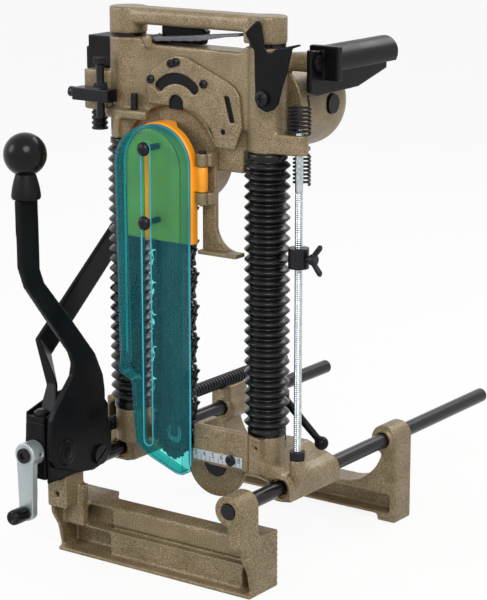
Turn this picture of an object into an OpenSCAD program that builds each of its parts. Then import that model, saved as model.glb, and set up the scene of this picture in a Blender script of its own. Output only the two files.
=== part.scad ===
// Chain mortiser for timber framing, in millimetres.
// X runs along the timber, Y runs from the front jaw to the rear jaw, Z is up from the jaw feet.
// The origin lies on the floor, midway between the two columns.

/* [Columns] */
// Distance between the two column axes
column_spacing = 160.8; // [158:0.2:166]
// Diameter of a column
column_d = 20; // [18:0.5:21]
// Height of the bosses of the head above the floor, with the head up
head_z = 405; // [402:1:412]
// Downward travel of the head to the stop collar
head_travel = 84; // [60:1:84]

/* [Vise] */
// Distance from the side of a jaw to the axis of its guide rod
rod_inset = 15; // [14.5:0.25:16]
// Diameter of a guide rod
rod_d = 15; // [14:0.25:16]
// Height of the guide rods above the floor
rod_z = 87; // [86:0.5:89]
// Length of a guide rod
rod_len = 471; // [440:1:500]
// Half of the width of both jaws
jaw_half_w = 116; // [116:0.5:118]
// Height of the clamping pads of the front jaw
jaw_h = 56; // [52:1:58]
// Distance from the column plane to the rear jaw
rear_jaw_y = 178; // [170:1:185]
// Thickness of the rear jaw
rear_jaw_t = 31; // [28:1:34]

/* [Screw] */
// Diameter of the vise screw
screw_d = 14; // [12:0.5:14]
// Pitch of the vise screw
screw_pitch = 5; // [4:0.5:8]
// Distance from the screw axis to the crank knob
crank_arm = 57; // [50:1:60]

/* [Chain] */
// Height of the axis of the drive sprocket with the head up
sprocket_z = 390; // [388:0.5:391]
// Distance from the sprocket axis to the nose wheel axis
bar_len = 267; // [255:0.5:268]
// Pitch of the chain
chain_pitch = 15.9; // [15.5:0.1:17]
// Radius over the cutters at the ends of the chain
cutter_r = 25; // [23:0.1:25.4]
// Width of the mortise cut, the length of a cutter across the chain
cutter_w = 14.5; // [12:0.5:14.5]

/* [Covers] */
// Radius of the arch of the hinged chain cover
cover_r = 40.2; // [39.8:0.1:40.6]
// Wall of the chain cover
cover_wall = 2.2; // [1.8:0.1:2.3]
// Radius of the arch of the sliding guard
guard_r = 39; // [38.6:0.1:39.4]
// Wall of the sliding guard
guard_wall = 2.2; // [1.8:0.1:2.6]

/* [Depth stop] */
// Diameter of the depth rod
depth_rod_d = 8; // [7:0.25:8]
// Height of the stop collar above the floor
collar_z = 300.5; // [296:0.5:300.5]
// Diameter of the stop collar
collar_d = 19.5; // [18:0.5:22]

/* [Levers] */
// Thickness of the long lever
lever_t = 6; // [5:0.25:6.5]
// Diameter of the ball on the long lever
ball_d = 40; // [36:1:42]
// Thickness of the flat bar of the release lever
release_t = 5; // [4:0.25:6]

/* [Hidden] */
$fn = 48;
// Radial clearance of a shaft that runs in its bore
run = 0.05;
// Gap between pieces that move past each other
gap = 0.3;
// Overrun of every cut
over = 1;
// Wall of the column bushes and of most small collars
bush_wall = 3.4;

// Columns
column_x = column_spacing / 2;
column_r = column_d / 2;
socket_r = 17.2;
socket_top = 135.5;
boss_r = 22;
post_r = 18;
boss_h = 97;
sleeve_r = column_r + run + bush_wall;
sleeve_below = 45;
sleeve_above = 20;
handle_h = 28;
column_top = head_z + boss_h + handle_h - head_travel - 8;

// Rods and front jaw
rod_x = jaw_half_w - rod_inset;
rod_r = rod_d / 2;
jaw_face_y = -47;
lug_front_y = -92;
lug_depth = 29;
lug_r = 15;
lug_rear_y = lug_front_y + lug_depth;
pad_depth = 16;
pad_w = 42;
pad_groove = 1.2;
pad_grooves = 9;
channel_depth = 31;
cheek_t = 4.5;
panel_left = -jaw_half_w / 2;
panel_right = jaw_half_w - 16;
lug_plate_x = jaw_half_w - 23.5;

// Base
base_front_y = -25;
base_low = 75;
base_deck = 116;
beam_low = 101.5;
beam_top = 139.5;
beam_rear_top = 122;
beam_wall = 6;
beam_rear_y = 6;
chain_gap_right = 12;
tunnel_w = 30;
tunnel_r = 13.5;
tunnel_top = rod_z + tunnel_r;
tunnel_rear_y = 76;
right_tunnel_y = -10;
left_tunnel_y = 2;
block_x = jaw_half_w;
rod_bush_wall = 2;

// Screw and carrier
screw_x = jaw_half_w - 12;
screw_z = 114.6;
screw_r = screw_d / 2;
shank_r = 6;
screw_rear_y = 300;
plate_t = 3;
trunnion_y = -95;
trunnion_z = 106.6;
trunnion_r = 5;
fulcrum_y = -50.8;
fulcrum_z = 97.4;
fulcrum_r = 5;
carrier_front_y = -121;
carrier_top = 144;
hub_len = 16;
hub_r = 12;
crank_front_y = carrier_front_y - gap - hub_len;
knob_r = 7.5;
knob_len = 20;

// Chain
chain_x = -15;
chain_y = -17;
link_w = 8;
link_h = 5;
tooth_h = 4;
chain_inner_r = cutter_r - link_h - tooth_h;
bar_t = 5;

// Covers
cover_x = -26.8;
arch_z = 386;
cover_front_y = -27;
cover_rear_y = -7;
cover_bottom = 314;
guard_front_y = -46.5;
guard_rear_y = cover_front_y - gap;
knob_z_high = 404;
knob_z_low = 334;
slot_w = 7;
knob_shank_r = 3;
knob_head_r = 6.5;
hinge_x = 21;
hinge_y = -20;
hinge_pin_r = 2.5;
hinge_low = 352;
hinge_high = 400.5;

// Head
head_front_y = -12;
head_rear_y = 20;
recess_y = -6.5;
recess_r = 54;
recess_x = -22.5;
case_wall = 3;
gear_cover_t = 3;
rod_boss_x = jaw_half_w - 0.5;
rod_boss_h = 19;
stack_top = head_z + boss_h;
handle_top = stack_top + handle_h;

// Motor and gears
motor_x = 60;
motor_z = 443;
motor_r = 44;
motor_len = 66;
motor_wall = 3;
dome_len = 24;
module_size = 2;
pinion_teeth = 10;
idler_teeth = 30;
idler_small_teeth = 14;
output_teeth = 30;
gear_w = 6;
motor_axis_dx = chain_x - motor_x;
motor_axis_dz = sprocket_z - motor_z;
axes_gap = sqrt(motor_axis_dx * motor_axis_dx + motor_axis_dz * motor_axis_dz);
first_sum = module_size * (pinion_teeth + idler_teeth) / 2;
idler_share = first_sum / axes_gap;
idler_x = motor_x + motor_axis_dx * idler_share;
idler_z = motor_z + motor_axis_dz * idler_share;
train_angle = atan2(motor_axis_dz, motor_axis_dx);
output_module = (axes_gap - first_sum) * 2 / (idler_small_teeth + output_teeth);
front_gear_y = -2.6;
rear_gear_y = head_rear_y - case_wall - gear_w * 1.5;

// Outlines as shares of the width and height that they fill
function fitted(shares, w, h) = [for (s = shares) [s[0] * w, s[1] * h]];
function arc_points(r, a0, a1, n) = [for (i = [0 : n]) let (a = a0 + (a1 - a0) * i / n)
    [r * cos(a), r * sin(a)]];

channel_shares = [[0, 0], [0, 1], [0.50, 0.94], [0.55, 0.89], [0.55, 0.60], [0.38, 0.54], [0.42, 0.50],
    [0.66, 0.49], [0.66, 0.13], [0.50, 0.09], [0.95, 0.07], [1, 0.04], [1, 0]];
web_shares = [[0, 0], [0, 1], [0.50, 0.94], [0.55, 0.89], [0.50, 0.86], [0.2, 0.90], [0.2, 0.53],
    [0.66, 0.50], [0.66, 0.46], [0.2, 0.47], [0.2, 0.09], [0.95, 0.07], [1, 0.04], [1, 0]];
cheek_shares = [[0, 0], [0, 0.47], [0.03, 0.56], [0.44, 0.56], [0.52, 0.62], [0.52, 0.87], [1, 0.87],
    [1, 0.75], [0.92, 0.41], [0.77, 0.26], [0.67, 0]];
lever_shares = [[0, 1], [0.015, 0.775], [0.075, 0.705], [0.3, 0.577], [0.54, 0.443], [0.577, 0.40],
    [0.555, 0.36], [0.46, 0.316], [0.355, 0.262], [0.305, 0.225], [0.285, 0.1], [0.355, 0.055], [0.6, 0.012],
    [0.78, 0], [0.93, 0.012], [1, 0.05], [1, 0.125], [0.93, 0.21], [0.93, 0.275], [0.91, 0.33],
    [0.82, 0.415], [0.57, 0.55], [0.26, 0.71], [0.215, 0.76], [0.21, 0.985], [0.21, 1]];
lever_w = 128;
lever_h = 282;
lever_y = -159;
lever_z = 83.5;
plate_shares = [[0, 0], [0.45, 0], [0.74, 0.08], [1, 0.22], [1, 0.75], [0.84, 1], [0.42, 0.98],
    [0.02, 0.86], [0, 0.5]];
plate_w = 91;
plate_h = 78;
plate_y = -119;
plate_z = 84;
guard_foot_h = 108;
guard_foot_z = 90.5;
latch_shares = [[0.205, 1], [0.27, 0.995], [0.30, 0.95], [0.355, 0.715], [0.41, 0.66], [0.48, 0.665],
    [0.55, 0.71], [0.965, 0.78], [1, 0.765], [0.845, 0.725], [0.79, 0.555], [0.765, 0.47], [0.69, 0.33],
    [0.607, 0.11], [0.52, 0.035], [0.387, 0], [0.235, 0.05], [0.19, 0.12], [0.17, 0.67], [0, 0.857]];
latch_w = 60.8;
latch_h = 81.6;
latch_x = 73.6;
latch_z = 445.9;
cover_plate_shares = [[0.40, 1], [0.49, 0.985], [0.86, 0.76], [0.93, 0.695], [0.975, 0.60], [1, 0.26],
    [0.93, 0], [0.76, 0], [0.71, 0.2], [0.60, 0.35], [0.42, 0.42], [0.30, 0.42], [0.12, 0.42], [0.10, 0.62],
    [0.16, 0.80], [0.30, 0.95]];
cover_plate_w = 124;
cover_plate_h = 82;
cover_plate_x = -62;
cover_plate_z = 406.5;

gold = [0.60, 0.52, 0.36];
black = [0.10, 0.10, 0.11];
steel = [0.62, 0.64, 0.66];
dark_steel = [0.2, 0.2, 0.21];

// Helpers
module along_y(x, y, z, r, len) {
    translate([x, y, z]) rotate([-90, 0, 0]) cylinder(r = r, h = len);
}
module along_x(x, y, z, r, len) {
    translate([x, y, z]) rotate([0, 90, 0]) cylinder(r = r, h = len);
}
module block(x0, x1, y0, y1, z0, z1) {
    translate([x0, y0, z0]) cube([x1 - x0, y1 - y0, z1 - z0]);
}
// An outline in the YZ plane carried along X
module slab_x(x0, x1, y, z, points) {
    translate([x0, y, z]) rotate([90, 0, 90]) linear_extrude(x1 - x0) polygon(points);
}
// An outline in the XZ plane carried along Y
module slab_y(y0, y1, x, z, points) {
    translate([x, y1, z]) rotate([90, 0, 0]) linear_extrude(y1 - y0) polygon(points);
}
module mirrored_x() {
    children();
    mirror([1, 0, 0]) children();
}
module hex_y(x, y, z, r, len) {
    translate([x, y, z]) rotate([-90, 0, 0]) cylinder(r = r, h = len, $fn = 6);
}
module hex_z(x, y, z, r, len) {
    translate([x, y, z]) cylinder(r = r, h = len, $fn = 6);
}
// A domed screw head that points along -Y, with its shank behind it
module pan_screw(x, y, z, r, head, shank) {
    difference() {
        union() {
            along_y(x, y - head * 0.6, z, r, head * 0.6);
            translate([x, y - head * 0.6, z]) rotate([90, 0, 0]) cylinder(r1 = r, r2 = r * 0.6,
                h = head * 0.4);
        }
        cross(x, y, z, r, head);
    }
    along_y(x, y, z, r * 0.5, shank);
}
module cross(x, y, z, r, head) {
    for (turn = [0, 90])
        translate([x, y - head, z]) rotate([0, turn, 0])
            translate([-r * 0.55, -head * 0.2, -r * 0.1]) cube([r * 1.1, head * 0.7, r * 0.2]);
}

// Vise frame
module front_jaw() color(gold) difference() {
    union() {
        mirror([0, 1, 0]) slab_x(-jaw_half_w, jaw_half_w, -jaw_face_y, 0,
            fitted(web_shares, channel_depth, jaw_h));
        mirror([0, 1, 0]) slab_x(panel_left, panel_right, -jaw_face_y, 0,
            fitted(channel_shares, channel_depth, jaw_h));
        mirrored_x() block(jaw_half_w - pad_w, jaw_half_w, jaw_face_y - over, jaw_face_y + pad_depth, 0,
            jaw_h);
        mirrored_x() mirror([0, 1, 0]) slab_x(jaw_half_w - cheek_t, jaw_half_w, -jaw_face_y - pad_depth, 0,
            fitted(cheek_shares, lug_r * 4.05, jaw_h / 0.56));
        right_lug();
        left_lug();
    }
    mirrored_x() along_y(rod_x, lug_front_y - over, rod_z, rod_r, lug_depth + over * 2);
    mirrored_x() pad_grooves();
    block(-jaw_half_w - over, -jaw_half_w + gap, plate_y, 0, plate_z - gap, carrier_top);
    along_y(-screw_x, lug_front_y - over, jaw_h + lug_r / 2, lug_r / 5, lug_depth / 3);
}
module right_lug() {
    along_y(rod_x, lug_front_y, rod_z, lug_r, lug_depth);
    block(rod_x, jaw_half_w, lug_front_y, lug_rear_y, jaw_h * 0.9, rod_z);
    block(rod_x - lug_r, jaw_half_w, lug_rear_y - lug_depth / 3, lug_rear_y, jaw_h * 0.9, rod_z);
}
module left_lug() {
    along_y(-rod_x, lug_front_y, rod_z, lug_r / 1.8, lug_depth);
    block(-jaw_half_w + gap, -lug_plate_x, lug_front_y, lug_rear_y, jaw_h * 0.9, rod_z + lug_r * 0.8);
    block(-jaw_half_w, -lug_plate_x + lug_r / 3, lug_rear_y - lug_depth / 3, lug_rear_y,
        jaw_h * 0.5, jaw_h * 1.25);
}
module pad_grooves() {
    pitch = jaw_h / (pad_grooves + 1);
    for (i = [1 : pad_grooves])
        translate([jaw_half_w - pad_w - over, jaw_face_y + pad_depth, i * pitch]) rotate([45, 0, 0])
            translate([0, -pad_groove, -pad_groove]) cube([pad_w + over * 2, pad_groove * 2,
                pad_groove * 2]);
}

module guide_rods() color(black) mirrored_x()
    along_y(rod_x, lug_front_y, rod_z, rod_r, rod_len);

module plate_hole(x, y, z, r) {
    along_x(x - over, y, z, r, plate_t + over * 2);
}
module side_plates() color(black) difference() {
    union() {
        slab_x(-lug_plate_x, -lug_plate_x + plate_t, plate_y, plate_z, fitted(plate_shares, plate_w,
            plate_h));
        slab_x(-jaw_half_w + gap - plate_t, -jaw_half_w + gap, plate_y, plate_z,
            fitted(plate_shares, plate_w, plate_h));
    }
    plate_hole(-lug_plate_x, trunnion_y, trunnion_z, trunnion_r);
    plate_hole(-jaw_half_w + gap - plate_t, trunnion_y, trunnion_z, trunnion_r);
    plate_hole(-lug_plate_x, fulcrum_y, fulcrum_z, fulcrum_r);
}
// Short pins that carry the block and leave room for the screw between them
module carrier_trunnions() color(dark_steel) {
    pin = jaw_half_w - gap - screw_x - screw_r + plate_t - gap;
    along_x(-jaw_half_w + gap - plate_t, trunnion_y, trunnion_z, trunnion_r, pin);
    along_x(-screw_x + screw_r + gap, trunnion_y, trunnion_z, trunnion_r,
        screw_x - screw_r - gap - lug_plate_x + plate_t);
}
module fulcrum_bolt() color(dark_steel) {
    length = plate_t + gap + lever_t;
    difference() {
        union() {
            along_x(-lug_plate_x, fulcrum_y, fulcrum_z, fulcrum_r, length);
            along_x(-lug_plate_x + length + gap, fulcrum_y, fulcrum_z, fulcrum_r * 1.9, plate_t);
            along_x(-lug_plate_x + length, fulcrum_y, fulcrum_z, fulcrum_r, gap + over);
        }
        translate([-lug_plate_x + length + gap + plate_t / 2, fulcrum_y, fulcrum_z]) rotate([35, 0, 0])
            translate([0, -fulcrum_r * 2, -plate_t / 3]) cube([plate_t, fulcrum_r * 4, plate_t * 2 / 3]);
    }
}

// Screw carrier, which tilts on its trunnions to lift the screw off the half nut
carrier_half = (jaw_half_w - gap * 2 - lug_plate_x - gap) / 2;
carrier_x = -jaw_half_w + gap * 2 + carrier_half;
module carrier_block() color(black) difference() {
    union() {
        block(carrier_x - carrier_half, carrier_x + carrier_half, carrier_front_y, lug_front_y - plate_t,
            plate_z + plate_t, carrier_top);
        block(carrier_x - carrier_half, carrier_x + carrier_half, carrier_front_y, lug_rear_y,
            rod_z + lug_r * 1.25, screw_z + screw_r * 2.2);
    }
    along_y(-screw_x, carrier_front_y - over, screw_z, shank_r + run,
        lug_rear_y - carrier_front_y + over * 2);
    along_y(-screw_x, lug_rear_y - bush_wall, screw_z, screw_r + gap, bush_wall + over);
    along_x(carrier_x - carrier_half - over, trunnion_y, trunnion_z, trunnion_r + run,
        carrier_half * 2 + over * 2);
    translate([-screw_x, foot_y, carrier_top - foot_bolt_len]) cylinder(r = foot_bolt_r,
        h = foot_bolt_len + over);
}
foot_y = -111;
foot_bolt_r = 4;
foot_bolt_len = 16;
foot_half_w = 11;
release_x = -jaw_half_w - 18;
module release_lever() color(black) difference() {
    union() {
        block(-screw_x - foot_half_w, -screw_x + foot_half_w, foot_y - foot_half_w + over,
            foot_y + foot_half_w,
            carrier_top, carrier_top + release_t);
        hull() {
            block(-screw_x - foot_half_w, -screw_x + foot_half_w, foot_y + foot_half_w - release_t * 0.4,
                foot_y + foot_half_w, carrier_top, carrier_top + release_t);
            release_rise_start();
        }
        hull() {
            release_rise_start();
            release_step(0);
        }
        hull() { release_step(0); release_step(1); }
    }
    translate([-screw_x, foot_y, carrier_top - over])
        cylinder(r = foot_bolt_r, h = release_t + over * 2);
}
module release_rise_start() block(-screw_x - foot_half_w * 0.95, -screw_x,
    foot_y + foot_half_w * 1.9, foot_y + foot_half_w * 2.2, carrier_top + foot_half_w * 2.3,
    carrier_top + foot_half_w * 2.3 + release_t);
// Stations of the upright part of the flat bar: place back from the foot and height above the block
release_shares = [[0.14, 0.315, 0.135], [0.93, 1, 0.125]];
release_reach = 200;
release_rise = 186;
module release_step(i) {
    s = release_shares[i];
    translate([release_x, foot_y + release_reach * s[0] + foot_half_w, carrier_top + release_rise * s[1]])
        rotate([40, 0, 0]) translate([-release_t / 2, -over, -release_reach * s[2] / 2])
            cube([release_t, over * 2, release_reach * s[2]]);
}
release_end_y = foot_y + release_reach * release_shares[1][0] + foot_half_w;
release_end_z = carrier_top + release_rise * release_shares[1][1];
release_end_w = release_reach * release_shares[1][2];
module release_ball() color(black) {
    translate([release_x, release_end_y + ball_d * 0.3, release_end_z + ball_d * 0.25])
        difference() {
            sphere(r = ball_d * 0.4);
            rotate([40, 0, 0]) translate([-release_t / 2, -ball_d * 0.4 - over, -release_end_w / 2])
                cube([release_t, ball_d * 0.4, release_end_w]);
        }
}
module foot_bolt() color(dark_steel) {
    translate([-screw_x, foot_y, carrier_top - foot_bolt_len])
        cylinder(r = foot_bolt_r, h = foot_bolt_len + release_t);
    translate([-screw_x, foot_y, carrier_top + release_t]) cylinder(r = foot_bolt_r * 1.8,
        h = foot_bolt_r * 0.8);
    translate([-screw_x, foot_y, carrier_top + release_t + foot_bolt_r * 0.8])
        cylinder(r1 = foot_bolt_r * 1.7, r2 = foot_bolt_r * 0.9, h = foot_bolt_r * 0.6);
}

// Vise screw with trapezoid grooves
thread_start_y = -60;
thread_depth = 1.1;
thread_count = floor((screw_rear_y - thread_start_y - screw_pitch * 2) / screw_pitch);
function thread_points(n) = [for (i = [0 : n - 1]) each [
    [screw_r, i * screw_pitch], [screw_r, (i + 0.45) * screw_pitch],
    [screw_r - thread_depth, (i + 0.6) * screw_pitch], [screw_r - thread_depth, (i + 0.85) * screw_pitch]]];
module vise_screw() color(black) {
    along_y(-screw_x, crank_front_y, screw_z, shank_r, thread_start_y - crank_front_y + over);
    translate([-screw_x, thread_start_y, screw_z]) rotate([-90, 0, 0]) rotate_extrude()
        polygon(concat([[0, 0]], thread_points(thread_count), [[screw_r, thread_count * screw_pitch],
            [screw_r - thread_depth * 2, screw_rear_y - thread_start_y], [0,
                screw_rear_y - thread_start_y]]));
}
module crank_arm() color(steel) difference() {
    union() {
        along_y(-screw_x, crank_front_y, screw_z, hub_r, hub_len);
        hull() {
            along_y(-screw_x, crank_front_y, screw_z, hub_r * 0.85, hub_len * 0.5);
            along_y(-screw_x, crank_front_y, screw_z - crank_arm, hub_r * 0.7, hub_len * 0.5);
        }
    }
    along_y(-screw_x, crank_front_y - over, screw_z, shank_r, hub_len + over * 2);
    along_y(-screw_x, crank_front_y - over, screw_z - crank_arm, knob_r * 0.45, hub_len + over * 2);
    along_x(-screw_x, crank_front_y + hub_len * 0.7, screw_z, hub_r * 0.18, hub_r + over);
}
module crank_bolt() color(dark_steel) difference() {
    along_y(-screw_x, crank_front_y - hub_len * 0.15, screw_z, hub_r * 0.6, hub_len * 0.15);
    hex_y(-screw_x, crank_front_y - hub_len * 0.15 - over, screw_z, hub_r * 0.3, hub_len * 0.1 + over);
}
module crank_knob() color(black) {
    along_y(-screw_x, crank_front_y - knob_len - gap, screw_z - crank_arm, knob_r * 0.85, knob_r * 0.3);
    along_y(-screw_x, crank_front_y - knob_len - gap + knob_r * 0.3, screw_z - crank_arm, knob_r,
        knob_len - knob_r * 0.3);
    along_y(-screw_x, crank_front_y - over, screw_z - crank_arm, knob_r * 0.45 - run, hub_len * 0.5 + over);
    along_y(-screw_x, crank_front_y + hub_len * 0.5 + gap, screw_z - crank_arm, knob_r * 0.75,
        knob_r * 0.25);
    along_y(-screw_x, crank_front_y + hub_len * 0.5 - over, screw_z - crank_arm, knob_r * 0.45 - run,
        gap + over * 1.5);
}

// Rear jaw
rear_boss_r = 15;
arch_r = 50;
arch_x = jaw_half_w - 16 - arch_r;
arch_low = 35;
foot_w = 22;
foot_h = 3;
foot_lift = 6.5;
// Height of the top of the housing of the half nut
nut_top = screw_z - screw_r * 0.4;
nut_side = 2;
module rear_jaw() color(gold) difference() {
    union() {
        block(-jaw_half_w, jaw_half_w, rear_jaw_y, rear_jaw_y + rear_jaw_t, foot_lift, rod_z);
        mirrored_x() intersection() {
            along_y(rod_x, rear_jaw_y, rod_z, rear_boss_r, rear_jaw_t);
            block(0, jaw_half_w, rear_jaw_y - over, rear_jaw_y + rear_jaw_t + over, 0, head_z);
        }
        mirrored_x() block(jaw_half_w - foot_w, jaw_half_w, rear_jaw_y, rear_jaw_y + rear_jaw_t, 0,
            foot_lift);
        block(-jaw_half_w, -screw_x + screw_r + bush_wall * 2, rear_jaw_y, rear_jaw_y + rear_jaw_t,
            rod_z, nut_top);
        mirrored_x() along_y(rod_x, rear_jaw_y - foot_h, rod_z, rod_r + foot_h, foot_h);
    }
    mirrored_x() along_y(rod_x, rear_jaw_y - rear_jaw_t, rod_z, rod_r + run, rear_jaw_t * 3);
    difference() {
        block(-jaw_half_w - over, jaw_half_w + over, rear_jaw_y - over, rear_jaw_y + rear_jaw_t + over,
            arch_low, rod_z + over);
        mirrored_x() {
            along_y(rod_x, rear_jaw_y - over * 2, rod_z, rear_boss_r, rear_jaw_t + over * 4);
            difference() {
                block(arch_x, jaw_half_w, rear_jaw_y - over * 2, rear_jaw_y + rear_jaw_t + over * 2, 0,
                    rod_z);
                along_y(arch_x, rear_jaw_y - over * 3, arch_low + arch_r, arch_r, rear_jaw_t + over * 6);
            }
            block(jaw_half_w, jaw_half_w + over * 2, rear_jaw_y - over * 2,
                rear_jaw_y + rear_jaw_t + over * 2, 0, rod_z);
        }
    }
    block(-jaw_half_w + foot_h * 2.5, jaw_half_w - foot_h * 2.5, rear_jaw_y - over,
        rear_jaw_y + rear_jaw_t / 2,
        foot_lift + foot_h, arch_low - foot_h * 2);
    along_y(-screw_x, rear_jaw_y - rear_jaw_t, screw_z, screw_r + gap, rear_jaw_t * 3);
    block(-screw_x - screw_r - nut_side - gap, -screw_x + screw_r + nut_side, rear_jaw_y + foot_h,
        rear_jaw_y + rear_jaw_t - foot_h, nut_low, screw_z + rear_boss_r);
}
nut_low = 100;
module half_nut() color(steel) difference() {
    block(-screw_x - screw_r - nut_side, -screw_x + screw_r + nut_side - gap, rear_jaw_y + foot_h + gap,
        rear_jaw_y + rear_jaw_t - foot_h - gap, nut_low, nut_top - gap);
    along_y(-screw_x, rear_jaw_y, screw_z, screw_r + gap, rear_jaw_t);
}

// Long lever
blade_x = -lug_plate_x + plate_t + gap;
lever_top_y = -145.5;
module long_lever() color(black) difference() {
    union() {
        slab_x(blade_x, blade_x + lever_t, lever_y, lever_z, fitted(lever_shares, lever_w, lever_h));
        along_x(blade_x + lever_t, trunnion_y - fulcrum_r, trunnion_z + fulcrum_r, fulcrum_r * 2.3,
            plate_t * 0.7);
        along_x(blade_x + lever_t, trunnion_y - fulcrum_r, trunnion_z + fulcrum_r, fulcrum_r * 0.9, plate_t);
    }
    along_x(blade_x - over, fulcrum_y, fulcrum_z, fulcrum_r + run, lever_t + over * 2);
}
ferrule_h = 24;
lever_top_z = lever_z + lever_h;
module lever_ferrule() color(black) translate([blade_x + lever_t / 2, lever_top_y, lever_top_z])
    difference() {
        cylinder(r1 = ball_d * 0.34, r2 = ball_d * 0.24, h = ferrule_h);
        cylinder(r = ball_d * 0.12, h = ferrule_h * 3, center = true);
    }
module lever_ball() color(black) translate([blade_x + lever_t / 2, lever_top_y, lever_top_z]) {
    translate([0, 0, ferrule_h + ball_d * 0.44]) difference() {
        sphere(r = ball_d / 2);
        translate([0, 0, -ball_d]) cylinder(r = ball_d, h = ball_d * 0.56);
    }
    cylinder(r = ball_d * 0.12, h = ferrule_h + over);
}

// Base
module rod_tunnel(y0, top) {
    block(block_x - tunnel_w, block_x, y0, tunnel_rear_y, base_low, top);
}
module column_hole(x) {
    translate([x, 0, base_low]) cylinder(r = column_r, h = socket_top);
}
module rod_hole(x) {
    along_y(x, base_front_y - over, rod_z, rod_r + rod_bush_wall, tunnel_rear_y - base_front_y + over * 2);
}
passage_r = 9;
passage_rise = 12;
module left_block() color(gold) difference() {
    union() {
        translate([-column_x, 0, beam_low]) cylinder(r = socket_r, h = socket_top - beam_low);
        mirror([1, 0, 0]) rod_tunnel(left_tunnel_y, beam_top);
        block(-block_x + tunnel_w, -column_x + socket_r, beam_rear_y, tunnel_rear_y / 2, beam_low,
            base_deck);
    }
    column_hole(-column_x);
    rod_hole(-rod_x);
    bellows_room();
    for (lift = [0, passage_rise])
        along_y(-screw_x, -socket_r - over, screw_z + lift, passage_r, tunnel_rear_y + socket_r + over * 2);
    block(-screw_x - passage_r, -screw_x + passage_r, -socket_r - over, tunnel_rear_y + over,
        screw_z, screw_z + passage_rise);
}
module right_block() color(gold) difference() {
    union() {
        translate([column_x, 0, beam_low]) cylinder(r = socket_r, h = socket_top - beam_low);
        hull() {
            along_y(rod_x, right_tunnel_y, rod_z, tunnel_r, tunnel_rear_y - right_tunnel_y);
            block(rod_x - tunnel_r, rod_x + tunnel_r, right_tunnel_y, tunnel_rear_y, base_low, rod_z);
        }
        hull() {
            block(column_x - socket_r, column_x + socket_r / 2, base_front_y + socket_r,
                tunnel_rear_y - socket_r,
                beam_low, base_deck);
            ridge(tunnel_rear_y - right_tunnel_y);
        }
        hull() {
            block(seam_x, column_x + socket_r / 2, base_front_y, 0, beam_low, base_deck);
            ridge(socket_r);
        }
        block(seam_x, column_x + socket_r / 2, base_front_y, 0, beam_low, socket_top);
        translate([lock_x, lock_y, beam_low]) cylinder(r = lock_r * 2, h = base_deck - beam_low);
        slab_y(base_front_y, base_front_y + beam_wall, seam_x, socket_top,
            [[0, 0], [socket_r * 0.9, 0], [0, beam_top - socket_top]]);
        translate([rod_boss_x, 0, rod_z]) cylinder(r1 = pad_r / 3, r2 = pad_r, h = tunnel_top - rod_z);
        translate([rod_boss_x, 0, tunnel_top]) cylinder(r = pad_r, h = base_deck - tunnel_top);
    }
    column_hole(column_x);
    rod_hole(rod_x);
    bellows_room();
    translate([rod_boss_x, 0, tunnel_top - over]) cylinder(r = depth_rod_d / 2, h = base_deck);
    along_y(seam_x + socket_r / 2, base_front_y - over, socket_top - socket_r / 2, over * 2, socket_r / 2);
    translate([lock_x, lock_y, base_deck - lock_r * 3]) cylinder(r = lock_r, h = lock_r * 4);
    wheel_room();
}
// The round top of the tunnel of the right rod, where the deck of the block runs out
module ridge(length) along_y(rod_x, right_tunnel_y, tunnel_top - ridge_r, ridge_r, length);
ridge_r = 6;
seam_x = 76;
pad_r = 7.5;
lock_x = 66;
lock_y = 45;
lock_r = 4;
module base_beam() color(gold) difference() {
    union() {
        block(chain_gap_right, seam_x - gap / 3, base_front_y, base_front_y + beam_wall, beam_low, beam_top);
        block(chain_gap_right, chain_gap_right + beam_wall, base_front_y, beam_rear_y + over, beam_low,
            beam_top);
        block(-column_x + socket_r, column_x - socket_r, beam_rear_y, beam_rear_y + beam_wall * 1.6,
            beam_low, beam_rear_top);
        block(wheel_x - axle_r * 2, wheel_x + axle_r * 2, beam_rear_y, beam_rear_y + beam_wall * 1.6,
            wheel_z - axle_r * 1.6, beam_low + over);
    }
    along_y(scale_screw_x, base_front_y - over, scale_screw_z, scale_screw_r * 0.5, beam_wall + over * 2);
    along_y(wheel_x, base_front_y - over, wheel_z, axle_r, beam_rear_y - base_front_y + beam_wall * 2);
    wheel_room();
    bellows_room();
}
module bellows_room() mirrored_x() translate([column_x, 0, socket_top])
    cylinder(r = bellows_tip_r + gap * 2, h = beam_top);
module wheel_room() {
    along_y(wheel_x, wheel_y - over * 0.7, wheel_z, wheel_r + over * 2, wheel_w + over * 1.7);
    along_y(wheel_x, wheel_y, wheel_z, axle_r * 2.4 + over, beam_rear_y - wheel_y);
}
module rod_bushes() color([0.7, 0.55, 0.3]) {
    bush_len = 24;
    mirrored_x() difference() {
        along_y(rod_x, tunnel_rear_y - bush_len, rod_z, rod_r + rod_bush_wall, bush_len);
        along_y(rod_x, 0, rod_z, rod_r + run, tunnel_rear_y + over);
    }
    for (side = [[rod_x, right_tunnel_y], [-rod_x, left_tunnel_y]]) difference() {
        along_y(side[0], side[1] + bush_wall, rod_z, rod_r + rod_bush_wall, bush_len);
        along_y(side[0], right_tunnel_y, rod_z, rod_r + run, tunnel_rear_y);
    }
}
module columns() color(steel) mirrored_x() translate([column_x, 0, beam_low])
    cylinder(r = column_r, h = column_top - beam_low);
scale_left = 9;
scale_right = 70;
scale_low = 105;
scale_h = 10;
scale_t = 0.8;
scale_screw_x = 56.7;
scale_screw_z = 110.5;
scale_screw_r = 5.2;
module scale_plate() color([0.85, 0.86, 0.88]) difference() {
    block(scale_left + bush_wall, scale_right, base_front_y - scale_t, base_front_y, scale_low,
        scale_low + scale_h);
    along_y(scale_screw_x, base_front_y - over * 2, scale_screw_z, scale_screw_r * 0.5, over * 4);
}
module scale_screw() color(black)
    pan_screw(scale_screw_x, base_front_y - scale_t, scale_screw_z, scale_screw_r, scale_screw_r * 0.5,
        beam_wall);
wheel_x = 26.7;
wheel_z = 97.9;
wheel_r = 33;
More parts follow.
